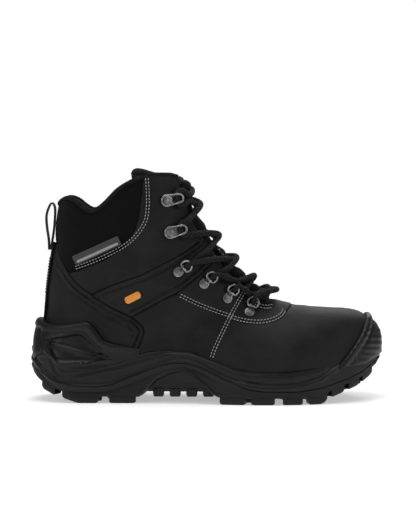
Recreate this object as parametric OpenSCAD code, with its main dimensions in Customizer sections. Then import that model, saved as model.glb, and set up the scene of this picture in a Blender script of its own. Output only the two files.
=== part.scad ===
// Lace-up safety boot, right foot. X runs from heel to toe, Z is up, and the wearer's outer side faces -Y.
// The origin is on the ground, at the middle of the sole's length and width.

/* [Size] */
// Thickness of the leather panels
leather_t = 2.0; // [1.6:0.1:2.2]
// Thickness of the lining behind them
lining_t = 1.4; // [1.0:0.1:1.6]

/* [Inside] */
// Wall of the steel toe cap
cap_t = 1.6; // [1.2:0.1:1.8]
// Thickness of the steel plate under the foot
plate_t = 0.8; // [0.6:0.1:0.9]
// Thickness of the insole board
board_t = 2.0; // [1.5:0.1:2.2]
// Thickness of the removable footbed
footbed_t = 5.0; // [4:0.5:6]

/* [Padding] */
// Thickness of the padded tongue
tongue_t = 7.0; // [5:0.5:8]

/* [Lacing] */
// Diameter of the round lace
lace_d = 4.0; // [3.4:0.1:4]
// Wire of the lace rings
ring_wire = 1.8; // [1.4:0.1:2]
// Width of a lace ring, outside
ring_w = 11; // [11:0.2:12]

/* [Tread] */
// Depth of the tread
lug_h = 5; // [4:0.5:6]

/* [Hidden] */

gap = 0.4;              // clearance between layers
seam = 0.4;             // clearance between panels side by side
full_turn = 360;

// ---- Splines -------------------------------------------------------------------------------------------

function lerp(a, b, f) = a + (b - a) * f;
function ease(f) = let (c = max(0, min(1, f))) c * c * (3 - 2 * c);
function unit(v) = v / norm(v);
function knot(p, q, r, s, f) =
    0.5 * (2 * q + (r - p) * f + (2 * p - 5 * q + 4 * r - s) * f * f + (3 * q - p - 3 * r + s) * f * f * f);
// Catmull-Rom curve through the rows of a table; row i is reached at u = i
function along(rows, u) =
    let (n = len(rows), i = min(n - 2, max(0, floor(u))))
    knot(rows[max(0, i - 1)], rows[i], rows[i + 1], rows[min(n - 1, i + 2)], u - i);
function samples(rows, n) = [for (i = [0:n]) along(rows, i * (len(rows) - 1) / n)];

// ---- The last: the outside of the leather ---------------------------------------------------------------

// Each row is a flat rib that spans from the front or top of the boot to its back or bottom:
// [front x, front z, back x, back z, half width, share of the span where it is widest,
//  roundness of the front, share of the width kept at the back end]
ribs = [
    [-22, 202, -128, 184, 36.5, 0.45, 2.0, 0.00],
    [-17, 180, -127, 162, 36.5, 0.45, 2.0, 0.00],
    [-7, 153, -128.6, 141, 35.5, 0.45, 2.0, 0.00],
    [6, 134, -132.6, 118, 35.5, 0.47, 2.0, 0.00],
    [17, 120, -135.6, 95, 36.0, 0.50, 2.0, 0.00],
    [27, 109, -137.5, 74, 36.5, 0.55, 2.0, 0.00],
    [35, 101, -139, 52, 36.5, 0.60, 2.0, 0.20],
    [42, 94.5, -134, 31, 36.0, 0.65, 2.0, 0.60],
    [48, 90, -108, 25, 35.2, 0.70, 2.0, 0.80],
    [54, 86.5, -70, 23, 35.6, 0.72, 2.0, 0.86],
    [61, 84, -30, 21, 37.8, 0.74, 2.0, 0.86],
    [70, 81.7, 8, 18.5, 43.0, 0.76, 2.05, 0.86],
    [80, 79.5, 40, 17, 48.5, 0.77, 2.15, 0.86],
    [92, 78, 68, 17, 50.0, 0.78, 2.3, 0.86],
    [106, 77, 92, 18.5, 47.5, 0.78, 2.4, 0.86],
    [119, 76, 112, 21.5, 41.5, 0.78, 2.5, 0.86],
    [130, 73.5, 127, 25.5, 34.0, 0.78, 2.5, 0.86],
    [138, 68, 137, 31, 24.5, 0.75, 2.4, 0.80],
    [142.5, 59, 142.5, 38, 14.0, 0.60, 2.2, 0.60],
    [144.5, 49, 144.5, 47, 2.0, 0.50, 2.0, 0.50]];
last_rib = len(ribs) - 1;

side_shift = -0.4;      // centres the sole's widest points on Y = 0
// Sideways curve of the foot: out at the arch, towards the big toe at the front
function centre_y(x) = side_shift + 8.5 * ease((x - 40) / 115) - 4.6 * exp(-pow(x / 55, 2));

function fullness(t, widest, power, kept) =
    t < widest
        ? pow(max(0, 1 - pow((widest - t) / widest, power)), 1 / power)
        : kept + (1 - kept) * sqrt(max(0, 1 - pow((t - widest) / (1 - widest), 2)));

// Point on the last. a = 0 is the front centre line, 180 the back or bottom centre line, 0 to 180 the outer
// side.
function bare_skin(u, a) =
    let (r = along(ribs, u), t = (1 - cos(a)) / 2, x = lerp(r[0], r[2], t), z = lerp(r[1], r[3], t),
         w = r[4] * fullness(t, r[5], r[6], r[7]))
    [x, centre_y(x) - sign(sin(a)) * w, z];

// Outward normal, taken on the same side of the 180 degree line as the point
function skin_normal(u, a) =
    let (b = ((a % full_turn) + full_turn) % full_turn,
         a0 = b <= 180 ? b - 2 : b, a1 = b <= 180 ? b : b + 2,
         u0 = max(0, u - 0.1), u1 = min(last_rib, u + 0.1),
         n = cross(bare_skin(u1, b) - bare_skin(u0, b), bare_skin(u, a1) - bare_skin(u, a0)))
    unit(-n);
function skin(u, a, off = 0) = bare_skin(u, a) + off * skin_normal(u, a);

// The [rib, angle] whose point on the outer side shows at x, z in a side view
function rib_side(u, x, z) =
    let (r = along(ribs, u)) (r[2] - r[0]) * (z - r[1]) - (r[3] - r[1]) * (x - r[0]);
function find_rib(x, z, lo, hi, steps) =
    steps == 0 ? (lo + hi) / 2
        : let (mid = (lo + hi) / 2)
          rib_side(mid, x, z) > 0 ? find_rib(x, z, mid, hi, steps - 1) : find_rib(x, z, lo, mid, steps - 1);
function locate(x, z) =
    let (u = find_rib(x, z, 0, last_rib, 22), r = along(ribs, u), d = [r[2] - r[0], r[3] - r[1]],
         t = ([x - r[0], z - r[1]] * d) / (d * d))
    [u, acos(max(-1, min(1, 1 - 2 * t)))];
function located(curve, n) = [for (p = samples(curve, n)) locate(p[0], p[1])];
function far_side(list) = [for (i = [len(list) - 1:-1:0]) [list[i][0], full_turn - list[i][1]]];
function swap_side(list) = [for (q = list) [q[0], full_turn - q[1]]];

// ---- Lines on the upper, as [x, z] in the side view ---------------------------------------------

collar_top = [[-52, 189.5], [-62, 186], [-74, 179], [-81, 172], [-86, 167], [-91, 163], [-98, 160.2],
    [-105, 164],
    [-111, 169], [-118, 171.5], [-124, 169], [-128, 165]];
collar_low = [[-53, 187], [-55.5, 166], [-58, 152], [-62, 141], [-69, 132], [-75, 127], [-82, 122],
    [-90, 118],
    [-104, 112.5], [-117, 109], [-125, 121], [-127.7, 134]];
heel_line = [[-127.7, 134], [-125, 122], [-118, 109.5], [-108, 98], [-96.5, 90], [-80, 80], [-65, 73],
    [-56, 66],
    [-53, 60], [-56, 51], [-60, 42]];
strap_top = [[-96.5, 90.5], [-83, 97], [-69, 102], [-55, 107], [-42, 113.5], [-28, 120.5], [-17, 127],
    [-8, 134]];
strap_low = [[-63, 72.5], [-49, 80], [-38, 86], [-26.5, 92], [-18, 98], [-10.5, 104], [-1, 112], [6, 119]];
facing_low = [[-26, 91], [-12, 84.5], [2, 79], [17.5, 71.8], [28, 67.5], [38, 66.3], [48, 66.6], [56, 68.6],
    [63, 72], [67.5, 77]];
vamp_seam = [[17.5, 71.8], [12, 61], [7, 50], [2.5, 40], [-1, 31]];

// rib, half width of the lace gap
gap_half = [[0, 17], [2, 16], [5, 15], [7.5, 12.5], [8.8, 9], [9.4, 5], [9.7, 0]];
function throat_angle(u) =
    let (g = lookup(u, gap_half), r = along(ribs, u), w = 1 - pow(1 - pow(g / r[4], r[6]), 1 / r[6]))
    acos(1 - 2 * r[5] * w);

// ---- Solids from grids of points ----------------------------------------------------------------

function volume6(pts, faces) =
    let (v = [for (f = faces) pts[f[0]] * cross(pts[f[1]], pts[f[2]])]) v * [for (i = v) 1];
function flipped(faces) = [for (f = faces) [f[0], f[2], f[1]]];
module closed(pts, faces) {
    polyhedron(points = pts, faces = volume6(pts, faces) > 0 ? flipped(faces) : faces, convexity = 10);
}
function quad(a, b, c, d) = [[a, b, c], [a, c, d]];

// Shell between an outer and an inner grid of the same size
module shell(outer, inner) {
    n = len(outer);
    m = len(outer[0]);
    k = n * m;
    pts = [for (r = outer) each r, for (r = inner) each r];
    faces = [
        for (i = [0:n - 2], j = [0:m - 2]) each quad(i * m + j, i * m + j + 1, (i + 1) * m + j + 1,
            (i + 1) * m + j),
        for (i = [0:n - 2], j = [0:m - 2])
            each quad(k + i * m + j, k + (i + 1) * m + j, k + (i + 1) * m + j + 1, k + i * m + j + 1),
        for (j = [0:m - 2]) each quad(j + 1, j, k + j, k + j + 1),
        for (j = [0:m - 2])
            each quad((n - 1) * m + j, (n - 1) * m + j + 1, k + (n - 1) * m + j + 1, k + (n - 1) * m + j),
        for (i = [0:n - 2]) each quad(i * m, (i + 1) * m, k + (i + 1) * m, k + i * m),
        for (i = [0:n - 2])
            each quad((i + 1) * m + m - 1, i * m + m - 1, k + i * m + m - 1, k + (i + 1) * m + m - 1)];
    closed(pts, faces);
}

// Solid from closed rings of the same length, one above the other; each end is closed across the ring
module stacked(rings) {
    m = len(rings[0]);
    top = (len(rings) - 1) * m;
    faces = [
        for (k = [0:len(rings) - 2], j = [0:m - 1])
            each quad(k * m + j, k * m + (j + 1) % m, (k + 1) * m + (j + 1) % m, (k + 1) * m + j),
        for (j = [0:m / 2 - 2]) each quad(j + 1, j, m - 1 - j, m - 2 - j),
        for (j = [0:m / 2 - 2]) each quad(top + j, top + j + 1, top + m - 2 - j, top + m - 1 - j)];
    closed([for (r = rings) each r], faces);
}

// Round tube through a list of points
module tube(path, d, sides) {
    n = len(path);
    dirs = [for (i = [0:n - 1]) unit(path[min(n - 1, i + 1)] - path[max(0, i - 1)])];
    first = unit(cross(dirs[0], abs(dirs[0][0]) < 0.9 ? [1, 0, 0] : [0, 1, 0]));
    frames = [for (i = 0, f = first; i < n; i = i + 1,
        f = i < n ? unit(f - (f * dirs[i]) * dirs[i]) : f) f];
    pts = [for (i = [0:n - 1]) let (c = cross(dirs[i], frames[i]))
        for (j = [0:sides - 1]) path[i] + d / 2 * (cos(full_turn * j / sides) * frames[i]
            + sin(full_turn * j / sides) * c)];
    faces = [
        for (i = [0:n - 2], j = [0:sides - 1])
            each quad(i * sides + j, i * sides + (j + 1) % sides, (i + 1) * sides + (j + 1) % sides,
                (i + 1) * sides + j),
        for (j = [1:sides - 2]) [0, j + 1, j],
        for (j = [1:sides - 2]) [(n - 1) * sides, (n - 1) * sides + j, (n - 1) * sides + j + 1]];
    closed(pts, faces);
}

// Shell between two distances from the last. turns(u) lists the angles on rib u.
module wrapped(us, turns, out_off = 0, in_off = -leather_t) {
    shell([for (u = us) [for (a = turns(u)) skin(u, a, out_off)]],
        [for (u = us) [for (a = turns(u)) skin(u, a, in_off)]]);
}
upper_ribs = [0:0.5:last_rib];
function side_turns(side) = function(u) [for (j = [0:14]) side * lerp(throat_angle(u), 178.5, j / 14)];
all_round = function(u) [for (j = [0:20]) lerp(throat_angle(u), full_turn - throat_angle(u), j / 20)];
round_back = function(u) [for (j = [0:14]) lerp(84, 276, j / 14)];
over_top = function(u) [for (j = [0:22]) lerp(-178.5, 178.5, j / 22)];

// Freeform solids are joined and cut as one mesh
module meshed() resize([0, 0, 0]) children();
// Everything inside an [x, z] outline seen from the side, less half a seam all round
module side_view(outline) {
    rotate([90, 0, 0]) linear_extrude(300, center = true) offset(delta = -seam / 2) polygon(outline);
}
module panel(outline, us, turns, out_off = 0, in_off = -leather_t) {
    meshed() intersection() {
        wrapped(us, turns, out_off, in_off);
        side_view(outline);
    }
}
function backwards(list) = [for (i = [len(list) - 1:-1:0]) list[i]];
function beyond(list, x) = [for (p = list) if (p[0] > x) p];
function before(list, x) = [for (p = list) if (p[0] < x) p];

// ---- Sole ---------------------------------------------------------------------------------------

half_outline = [[-151, 0], [-149.6, 12], [-144, 23.5], [-133, 32.5], [-115, 39], [-90, 39.8], [-60, 39.4],
    [-25, 40.6], [5, 45.2], [30, 50.4], [55, 53.6], [75, 53.9], [95, 50.8], [112, 44.3], [126, 36],
        [137.5, 25.5],
    [146, 14.5], [150, 6.5], [151, 0]];
side_points = 34;

// Height of the outsole's top line, the midsole's top line and the underside, by x
outsole_line = [[-151, 36], [-144, 28], [-136, 23], [-128, 18.5], [-110, 14.5], [-92, 13.8], [-80, 16],
    [-71, 20],
    [-55, 26.5], [-39, 32], [-28, 34.3], [-18, 34.3], [-8, 31.5], [3, 27], [12, 22.5], [25, 16.5], [35, 13],
    [46, 11.5], [75, 11], [97, 14], [118, 20], [131, 25], [144, 33], [151, 40]];
midsole_line = [[-151, 47], [-137, 47], [-130, 40], [-122, 33], [-108, 30.5], [-92, 32], [-71, 36.5],
    [-50, 42.5],
    [-34, 44], [-15, 43], [2, 37], [14, 32.5], [22, 29], [35, 27], [66, 26.5], [87, 29], [105, 32],
        [118, 34],
    [131, 36], [140, 40], [151, 47]];
underside = [[-151, 24], [-146, 16], [-140, 11], [-130, 6.5], [-118, 3], [-110, 0.6], [-108, 0], [94, 0],
    [97, 0.6],
    [104, 5], [118, 10], [129, 14], [138, 19.5], [144, 24], [149, 31], [151, 37]];
cavity_floor = [[-134, 31], [-108, 25], [-70, 23], [-30, 21], [8, 18.5], [40, 17], [68, 17], [92, 18.5],
    [112, 21.5],
    [127, 25.5], [140, 32]];

// Where the outsole meets the midsole inside, clear of the last's floor
inner_line = [for (x = [-151:7.55:151]) [x, min(lookup(x, outsole_line), lookup(x, cavity_floor) - 3)]];
seat_line = [for (x = [-151:7.55:151]) [x, min(lookup(x, cavity_floor) - 0.9,
    lookup(x, midsole_line) - 3)]];
// Lower edge of the leather, just over the floor of the last
lasted_edge = [for (p = cavity_floor) [p[0], p[1] + 2.3]];

function outline_point(s, inset) =
    let (p = along(half_outline, s), q = along(half_outline, min(18, s + 0.05)) - along(half_outline,
        max(0, s - 0.05)),
         n = unit([-q[1], q[0]]))
    p - inset * n;
// One ring round the sole: inset from the outline, at the height that levels gives for each x
function sole_ring(inset, levels, rise = 0, share = 0, other = []) =
    let (half = [for (i = [0:side_points]) outline_point(18 * (i
        + (i == 0 ? 0.15 : i == side_points ? -0.15 : 0)) / side_points, inset)])
    let (z = [for (p = half) rise + (len(other) ? lerp(lookup(p[0], levels), lookup(p[0], other), share)
        : lookup(p[0], levels))])
    [for (i = [0:side_points]) [half[i][0], centre_y(half[i][0]) - half[i][1], z[i]],
     for (i = [side_points:-1:0]) [half[i][0], centre_y(half[i][0]) + half[i][1], z[i]]];

// Channel across the tread from one side: x, width, outer end and inner end as shares of the half width
grooves = [[-122, 6, 0.2, 1.2], [-86, 9, 0.2, 1.2], [34, 6, 0.45, 1.2], [59, 7, 0.4, 1.2],
    [82.5, 5, 0.4, 1.2],
    [105, 5, 0.15, 1.3], [120, 5, 0.15, 1.4], [133, 4, 0.15, 1.6]];
module groove(x, wide, from, to, side, turn = 0) {
    half = lookup(x, half_outline);
    translate([x, centre_y(x) + side * half * (from + to) / 2,
        lookup(x, underside) - 3]) rotate(side * turn)
        translate([-wide / 2, -half * (to - from) / 2, 0]) cube([wide, half * (to - from), lug_h + 2.7]);
}
module outsole() color([0.09, 0.09, 0.1]) {
    meshed() difference() {
        stacked([sole_ring(5, underside), sole_ring(2.6, underside, 0.3),
            sole_ring(0.8, underside, lug_h + 1),
            sole_ring(0, outsole_line, -1.4), sole_ring(1.2, outsole_line), sole_ring(3, inner_line)]);
        for (g = grooves, side = [-1, 1]) groove(g[0], g[1], g[2], g[3], side,
            g[0] > 100 ? 12 : g[0] > 0 ? 5 : 1);
        for (k = [0:3], side = [-1, 1]) translate([lerp(20, 92, k / 3), centre_y(lerp(20, 92, k / 3)), -3])
            rotate(side * 42) translate([-2, -17, 0]) cube([4, 34, lug_h + 2.8]);
        for (k = [0:1], side = [-1, 1]) translate([lerp(-105, -71, k), centre_y(-90), -3])
            rotate(side * 42) translate([-1.75, -14, 0]) cube([3.5, 28, lug_h + 2.8]);
        waist(9, 60, [[-57, 0], [-52, 7], [-46, 9.5], [-10, 9.5], [8, 7], [17, 0]]);
        for (side = [-1, 1]) translate([0, centre_y(-20) + side * 61, 0])
            waist(0, 27, [[-59, 0], [-49.6, 12], [-43.5, 18.7], [-33.7, 24], [-22, 26.5], [-12.7, 24],
                [-2, 14.6],
                [5.6, 6], [15, 3.7], [19, 0]]);
    }
}

// Cut across the raised waist between heel and forefoot
module waist(bars, half, profile) {
    rotate([90, 0, 0]) linear_extrude(2 * half, center = true) difference() {
        polygon([each profile, [profile[len(profile) - 1][0], -9], [profile[0][0], -9]]);
        for (k = [0:1:bars - 6]) translate([-44 + 14 * k, 5.5]) square([5, 9]);
    }
}

module midsole() color([0.11, 0.11, 0.115])
    stacked([sole_ring(6, seat_line), sole_ring(3.4, seat_line, 0, 0.3, midsole_line),
        sole_ring(3, midsole_line),
        sole_ring(2, midsole_line), sole_ring(1.2, midsole_line, -2),
            sole_ring(0.8, outsole_line, 0, 0.45, midsole_line),
        sole_ring(1.5, outsole_line, gap), sole_ring(3.3, inner_line, gap)]);

// Moulded cage round the heel. It carries a raised frame on each side.
stabiliser = [[-50, 43.5], [-56, 45.5], [-70, 48.3], [-85, 52], [-91, 59], [-98, 67], [-108, 66.8],
    [-121, 64.5],
    [-131, 64], [-136, 65], [-150, 68], [-160, 66], [-160, 33], [-118, 29], [-50, 30]];
frame_corners = [[-130, 59], [-116, 61.2], [-100, 62.5], [-86, 50], [-94, 42], [-122, 40]];
stabiliser_back = [[4, 3.6], [5, 4.4], [6, 9], [7, 11]];      // rib, stand-off at the back of the heel
module midsole_space() stacked([sole_ring(-4, outsole_line, -2), sole_ring(-4, midsole_line, 0.9),
    sole_ring(0, midsole_line, 0.9), sole_ring(3, midsole_line, 0.9), sole_ring(12, midsole_line, 0.9)]);
module heel_stabiliser() color([0.12, 0.12, 0.125]) {
    meshed() difference() {
        intersection() {
            union() {
                shell([for (u = [3.5:0.5:9.5]) [for (a = round_back(u)) skin(u, a,
                    lerp(2.4, lookup(u, stabiliser_back), back_share(a)))]],
                    [for (u = [3.5:0.5:9.5]) [for (a = round_back(u)) skin(u, a, gap)]]);
                for (side = [-1, 1], k = [0:4]) frame_bar(side, k);
            }
            side_view(stabiliser);
        }
        midsole_space();
    }
}
function back_share(a) = ease((90 - abs(180 - a) - 35) / 50);
module frame_bar(side, k) {
    hull() for (c = [frame_corners[k], frame_corners[k + 1]]) let (q = locate(c[0], c[1]))
        translate(skin(q[0], side * q[1], 2.8)) sphere(1.6, $fn = 6);
}

// Rubber over the toe
guard = [[108, 25], [110, 32], [115, 38], [123, 48], [130, 59], [134.5, 71], [160, 76], [160, 20]];
guard_ribs = [14.5:0.5:last_rib];
module toe_guard() color([0.1, 0.1, 0.105]) {
    meshed() difference() {
        intersection() {
            shell([for (u = guard_ribs) [for (a = over_top(u)) skin(u, a,
                lerp(3.2, 5.6, ease((u - 17) / 1.5)))]],
                [for (u = guard_ribs) [for (a = over_top(u)) skin(u, a, gap)]]);
            side_view(guard);
        }
        midsole_space();
        translate([146, centre_y(146) - 3, 41]) cube([10, 6, 20]);
    }
}

// ---- Under the foot -----------------------------------------------------------------------------

// Flat piece that follows the floor of the last, from rib u0 to rib u1
function floor_ring(u0, u1, inset, rise) =
    let (us = [for (i = [0:24]) lerp(u0, u1, 0.5 - 0.5 * cos(180 * i / 24))],
         half = [for (i = [0:24]) let (r = along(ribs, us[i]), e = min(i, 24 - i))
             [r[2], max(3, r[4] * r[7] - inset) * (e == 0 ? 0.45 : e == 1 ? 0.8 : e == 2 ? 0.94 : 1),
                 r[3] + rise]])
    [for (p = half) [p[0], centre_y(p[0]) - p[1], p[2]],
     for (i = [24:-1:0]) [half[i][0], centre_y(half[i][0]) + half[i][1], half[i][2]]];
module steel_midsole_plate() color([0.62, 0.63, 0.65])
    stacked([floor_ring(7.75, 16.2, 3.4, 0.3), floor_ring(7.75, 16.2, 3.4, 0.3 + plate_t)]);
board_low = 0.3 + plate_t + gap;
module insole_board() color([0.72, 0.65, 0.52])
    stacked([floor_ring(7.2, 16.3, 3.2, board_low), floor_ring(7.2, 16.3, 3.2, board_low + board_t)]);
footbed_low = board_low + board_t + gap;
module footbed() color([0.2, 0.2, 0.22])
    stacked([floor_ring(7.35, 15.9, 7.6, footbed_low),
        floor_ring(7.35, 15.9, 6.8, footbed_low + footbed_t - 1),
        floor_ring(7.4, 15.8, 8, footbed_low + footbed_t)]);

// ---- Upper --------------------------------------------------------------------------------------

cap_off = -leather_t - gap;
lining_off = cap_off - 2;
module steel_toe_cap() color([0.6, 0.61, 0.63])
    wrapped([14.4:0.5:18.9], function(u) [for (j = [0:20]) lerp(-146, 146, j / 20)], cap_off,
        cap_off - cap_t);
module heel_stiffener() color([0.3, 0.28, 0.25])
    panel([[-62, 45], [-75, 70], [-100, 90], [-145, 92], [-145, 32], [-100, 34]], [2.5:0.5:9], round_back,
        cap_off, cap_off - 1.4);

seam_curve = samples(vamp_seam, 8);
facing_curve = samples(facing_low, 16);
heel_curve = samples(heel_line, 20);
strap_top_curve = samples(strap_top, 12);
strap_low_curve = samples(strap_low, 12);
collar_low_curve = samples(collar_low, 18);
collar_top_curve = samples(collar_top, 22);

module vamp() color([0.13, 0.13, 0.14])
    panel([each backwards(seam_curve), each beyond(facing_curve, 17.6), [69, 84], [69, 100], [160, 100],
        [160, 49],
        each backwards([for (p = midsole_line) if (p[0] > 100) p + [0, 1.2]]), [95, 29],
        each backwards([for (p = lasted_edge) if (p[0] > -8 && p[0] < 93) p])],
        [8.5:0.5:last_rib], over_top);
module quarter_lower(side) color([0.13, 0.13, 0.14])
    panel([each before(strap_low_curve, -26.6), each before(facing_curve, 17), each seam_curve,
        each backwards([for (p = lasted_edge) if (p[0] > -72 && p[0] < 0) p]),
        each backwards([for (p = heel_curve) if (p[1] < 72) p])], upper_ribs, side_turns(side));
module quarter_lower_lateral() quarter_lower(1);
module quarter_lower_medial() quarter_lower(-1);
module quarter_upper(side) color([0.13, 0.13, 0.14])
    panel([[-52, 190.5], [-45, 191], [-31, 191], [-25, 189.5], [-16, 184], [20, 150],
        each backwards(strap_top_curve),
        each backwards([for (p = heel_curve) if (p[0] < -97 && p[1] < 109) p]),
        each backwards([for (p = collar_low_curve) if (p[1] > 109.5 && p[0] > -117.5) p])], upper_ribs,
            side_turns(side));
module quarter_upper_lateral() quarter_upper(1);
module quarter_upper_medial() quarter_upper(-1);
module ankle_strap(side) color([0.14, 0.14, 0.15])
    panel([each strap_top_curve, each backwards(strap_low_curve), [-70, 76], [-96, 90]], upper_ribs,
        side_turns(side), 0.8);
module ankle_strap_lateral() ankle_strap(1);
module ankle_strap_medial() ankle_strap(-1);
facing = [each facing_curve, [69, 84], [69, 100], [20, 135], each backwards(beyond(strap_low_curve, -26))];
module lace_facing() color([0.12, 0.12, 0.13]) {
    meshed() intersection() {
        union() for (side = [-1, 1]) wrapped([3:0.5:12.5],
            function(u) [for (j = [0:12]) side * lerp(throat_angle(u), 110, j / 12)]);
        side_view(facing);
    }
}
module heel_panel() color([0.13, 0.13, 0.14])
    panel([each heel_curve, each backwards([for (p = lasted_edge) if (p[0] < -60) p]), [-160, 33],
        [-160, 134]],
        [1:0.5:10], round_back);
module padded_collar() color([0.1, 0.1, 0.11])
    panel([each [for (p = collar_top_curve) if (p[0] < -56) p - [0, 3.4]], [-160, 161.4], [-160, 134],
        each backwards([for (p = collar_low_curve) if (p[1] < 184.5) p])], [0:0.5:6],
        function(u) [for (j = [0:20]) lerp(50, 310, j / 20)], 0.4, -leather_t - 1);

// ---- Lining and tongue --------------------------------------------------------------------------

lining_base = [for (p = cavity_floor) [p[0], p[1] + footbed_low + 2.6]];
module lining_shaft() color([0.24, 0.24, 0.26])
    panel([each collar_top_curve, [-160, 165], [-160, 37], each lining_base, [160, 40],
        [160, 130], [0, 160], [-10, 187], [-40, 187]], [0, each [0.5:0.75:9.5]], all_round, lining_off,
            lining_off - lining_t);
module lining_vamp() color([0.24, 0.24, 0.26])
    panel([[-60, 130], each [for (p = lining_base) if (p[0] > -80) p], [160, 40], [160, 130]],
        [9.6, each [10.5:0.75:18]], function(u) [for (j = [0:18]) lerp(-170, 170, j / 18)], lining_off,
            lining_off - lining_t);

// The tongue fills the lace gap and runs back under both facings
tongue_back = 78;       // angle of its side edges at the top
tongue_inset = lining_off - lining_t - 1.8;
function tongue_edge(u) = lerp(tongue_back, 46, ease(u / 8));
function tongue_out(u, a) = let (t = max(1, throat_angle(u)))
    lerp(-1, tongue_inset, max(ease((abs(a) - 0.35 * t) / (0.45 * t)), ease((u - 8.4) / 1.4)));
module tongue() color([0.12, 0.12, 0.13]) {
    us = [0:0.5:10];
    turn = function(u) [for (j = [-10:10]) tongue_edge(u) * j / 10];
    meshed() intersection() {
        shell([for (u = us) [for (a = turn(u)) skin(u, a, tongue_out(u, a))]],
            [for (u = us) [for (a = turn(u)) skin(u, a,
                tongue_out(u, a) - tongue_t + 1.5 * ease(abs(a) / tongue_edge(u)))]]);
        side_view([[-70, 150], [-71, 183], [-69, 193], [-64, 197], [-54, 196.5], [-44, 192.5], [-34, 190],
            [-24, 187],
            [-10, 182], [60, 150], [60, 60], [-40, 60]]);
    }
}
keeper_rib = 3.6;
module lace_keeper() color([0.1, 0.1, 0.11]) {
    p = skin(keeper_rib, 0);
    translate(p) rotate([0, -angle_at(keeper_rib), 0]) difference() {
        translate([-0.6, -8, -4]) cube([1.6, 16, 8]);
        translate([0, -6, -6]) cube([0.5, 12, 12]);
    }
}
// Slope of the front line at a rib, from vertical
function angle_at(u) = let (n = skin_normal(u, 0.5)) atan2(n[2], n[0]);

// ---- Webbing at the heel ------------------------------------------------------------------------

loop_path = [[-134.6, 127], [-135, 136], [-136.4, 146], [-136.8, 156], [-134, 164.5], [-131.6, 166.5],
    [-129.5, 162],
    [-129.9, 150], [-131.2, 139], [-133.2, 127]];
web_t = 1.6;
module ribbon(path, thick, wide) {
    rotate([90, 0, 0]) linear_extrude(wide, center = true) for (i = [0:len(path) - 2]) hull()
        for (p = [path[i], path[i + 1]]) translate(p) circle(d = thick, $fn = 16);
}
module pull_loop() color([0.12, 0.12, 0.13]) ribbon(loop_path, web_t, 15);
module backstay_tape() color([0.12, 0.12, 0.13])
    ribbon([[-134.1, 123.4], [-135.5, 112], [-136.6, 100], [-137.9, 88]], web_t, 15);
module side_patch(x, z, long, high, tilt, out_off, in_off) {
    panel([for (c = [[-1, -1], [1, -1], [1, 1], [-1, 1]])
        [x + c[0] * long / 2 * cos(tilt) - c[1] * high / 2 * sin(tilt),
            z + c[0] * long / 2 * sin(tilt) + c[1] * high / 2 * cos(tilt)]],
        [0:0.5:9], function(u) [for (j = [0:15]) lerp(50, 170, j / 15)], out_off, in_off);
}
module side_label() color([0.5, 0.5, 0.5]) side_patch(-92, 127.5, 42, 8, 25, 1.4, 0.7);
module side_badge() color([0.75, 0.4, 0.15]) side_patch(-62, 88.5, 12, 12, 27, 1.9, 1.1);
module collar_binding() color([0.09, 0.09, 0.1]) {
    line = [for (p = collar_top_curve) if (p[0] > -127.5) locate(p[0], p[1])];
    path = [for (q = line) skin(q[0], q[1], -1), skin(locate(-127.3, 165)[0], 180, -1),
        for (q = backwards(line)) skin(q[0], full_turn - q[1], -1)];
    tube(path, 2.6, 8);
}

// ---- Lace hardware ------------------------------------------------------------------------------

// Rivet centre and the point that the lace pulls towards, as [x, z] in the side view, from the toe up
ring_places = [[[35.4, 75], [40.8, 87]], [[16.6, 87], [23, 98]], [[-3, 99.6], [6, 108]],
    [[-24.5, 109.7], [-14.5, 117]]];
hook_places = [[[-31, 142.4], [-18, 145.4]], [[-34.3, 169], [-20, 171.6]]];
rivet_d = 6.4;
clip_rise = 0.5;        // how far the clips stand off the leather below them
bar_out = 5.3;          // from the rivet to the ring's bar
bar_rise = 2.3;         // height of the bar over the clip's foot
bar_d = ring_wire + 0.2;
bar_bore = bar_d + 0.2;
barrel = 4.4;           // length of the rolled barrel
ring_r = ring_w / 2 - ring_wire / 2;
ring_out = 3.0;         // from the bar to the middle of the ring's arch
ring_tilt = 28;

// Frame at a place: origin, pull direction, across, straight out of the leather
function frame_at(place, side, off) =
    let (q = locate(place[0][0], place[0][1]), e = locate(place[1][0], place[1][1]),
         p = skin(q[0], side * q[1], off), n = skin_normal(q[0], side * q[1]),
         d = skin(e[0], side * e[1], off) - p, u = unit(d - (d * n) * n))
    [p, u, cross(n, u), n];
function in_frame(f, v) = f[0] + v[0] * f[1] + v[1] * f[2] + v[2] * f[3];
module at_place(place, side, off) {
    f = frame_at(place, side, off);
    multmatrix([for (k = [0:2]) [f[1][k], f[2][k], f[3][k], f[0][k]]]) children();
}
function ring_off(i) = clip_rise + (i == 3 ? 0.8 : 0);
module ring_clip() {
    difference() {
        union() {
            cylinder(h = 0.9, d = 8.4, $fn = 48);
            translate([0, -barrel / 2, 0]) cube([bar_out, barrel, 0.9]);
            translate([bar_out, barrel / 2, bar_rise]) rotate([90, 0, 0]) cylinder(h = barrel,
                d = bar_bore + 1.2, $fn = 48);
        }
        translate([bar_out, barrel, bar_rise]) rotate([90, 0, 0]) cylinder(h = 2 * barrel, d = bar_bore,
            $fn = 48);
        translate([0, 0, -1]) cylinder(h = 3, d = 3.2, $fn = 48);
    }
}
module rivet() {
    cylinder(h = 0.95, d = 3.2, $fn = 48);
    translate([0, 0, 0.95]) intersection() {
        translate([0, 0, -7.3]) sphere(d = 16, $fn = 64);
        cylinder(h = 2, d = rivet_d, $fn = 48);
    }
}
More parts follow.
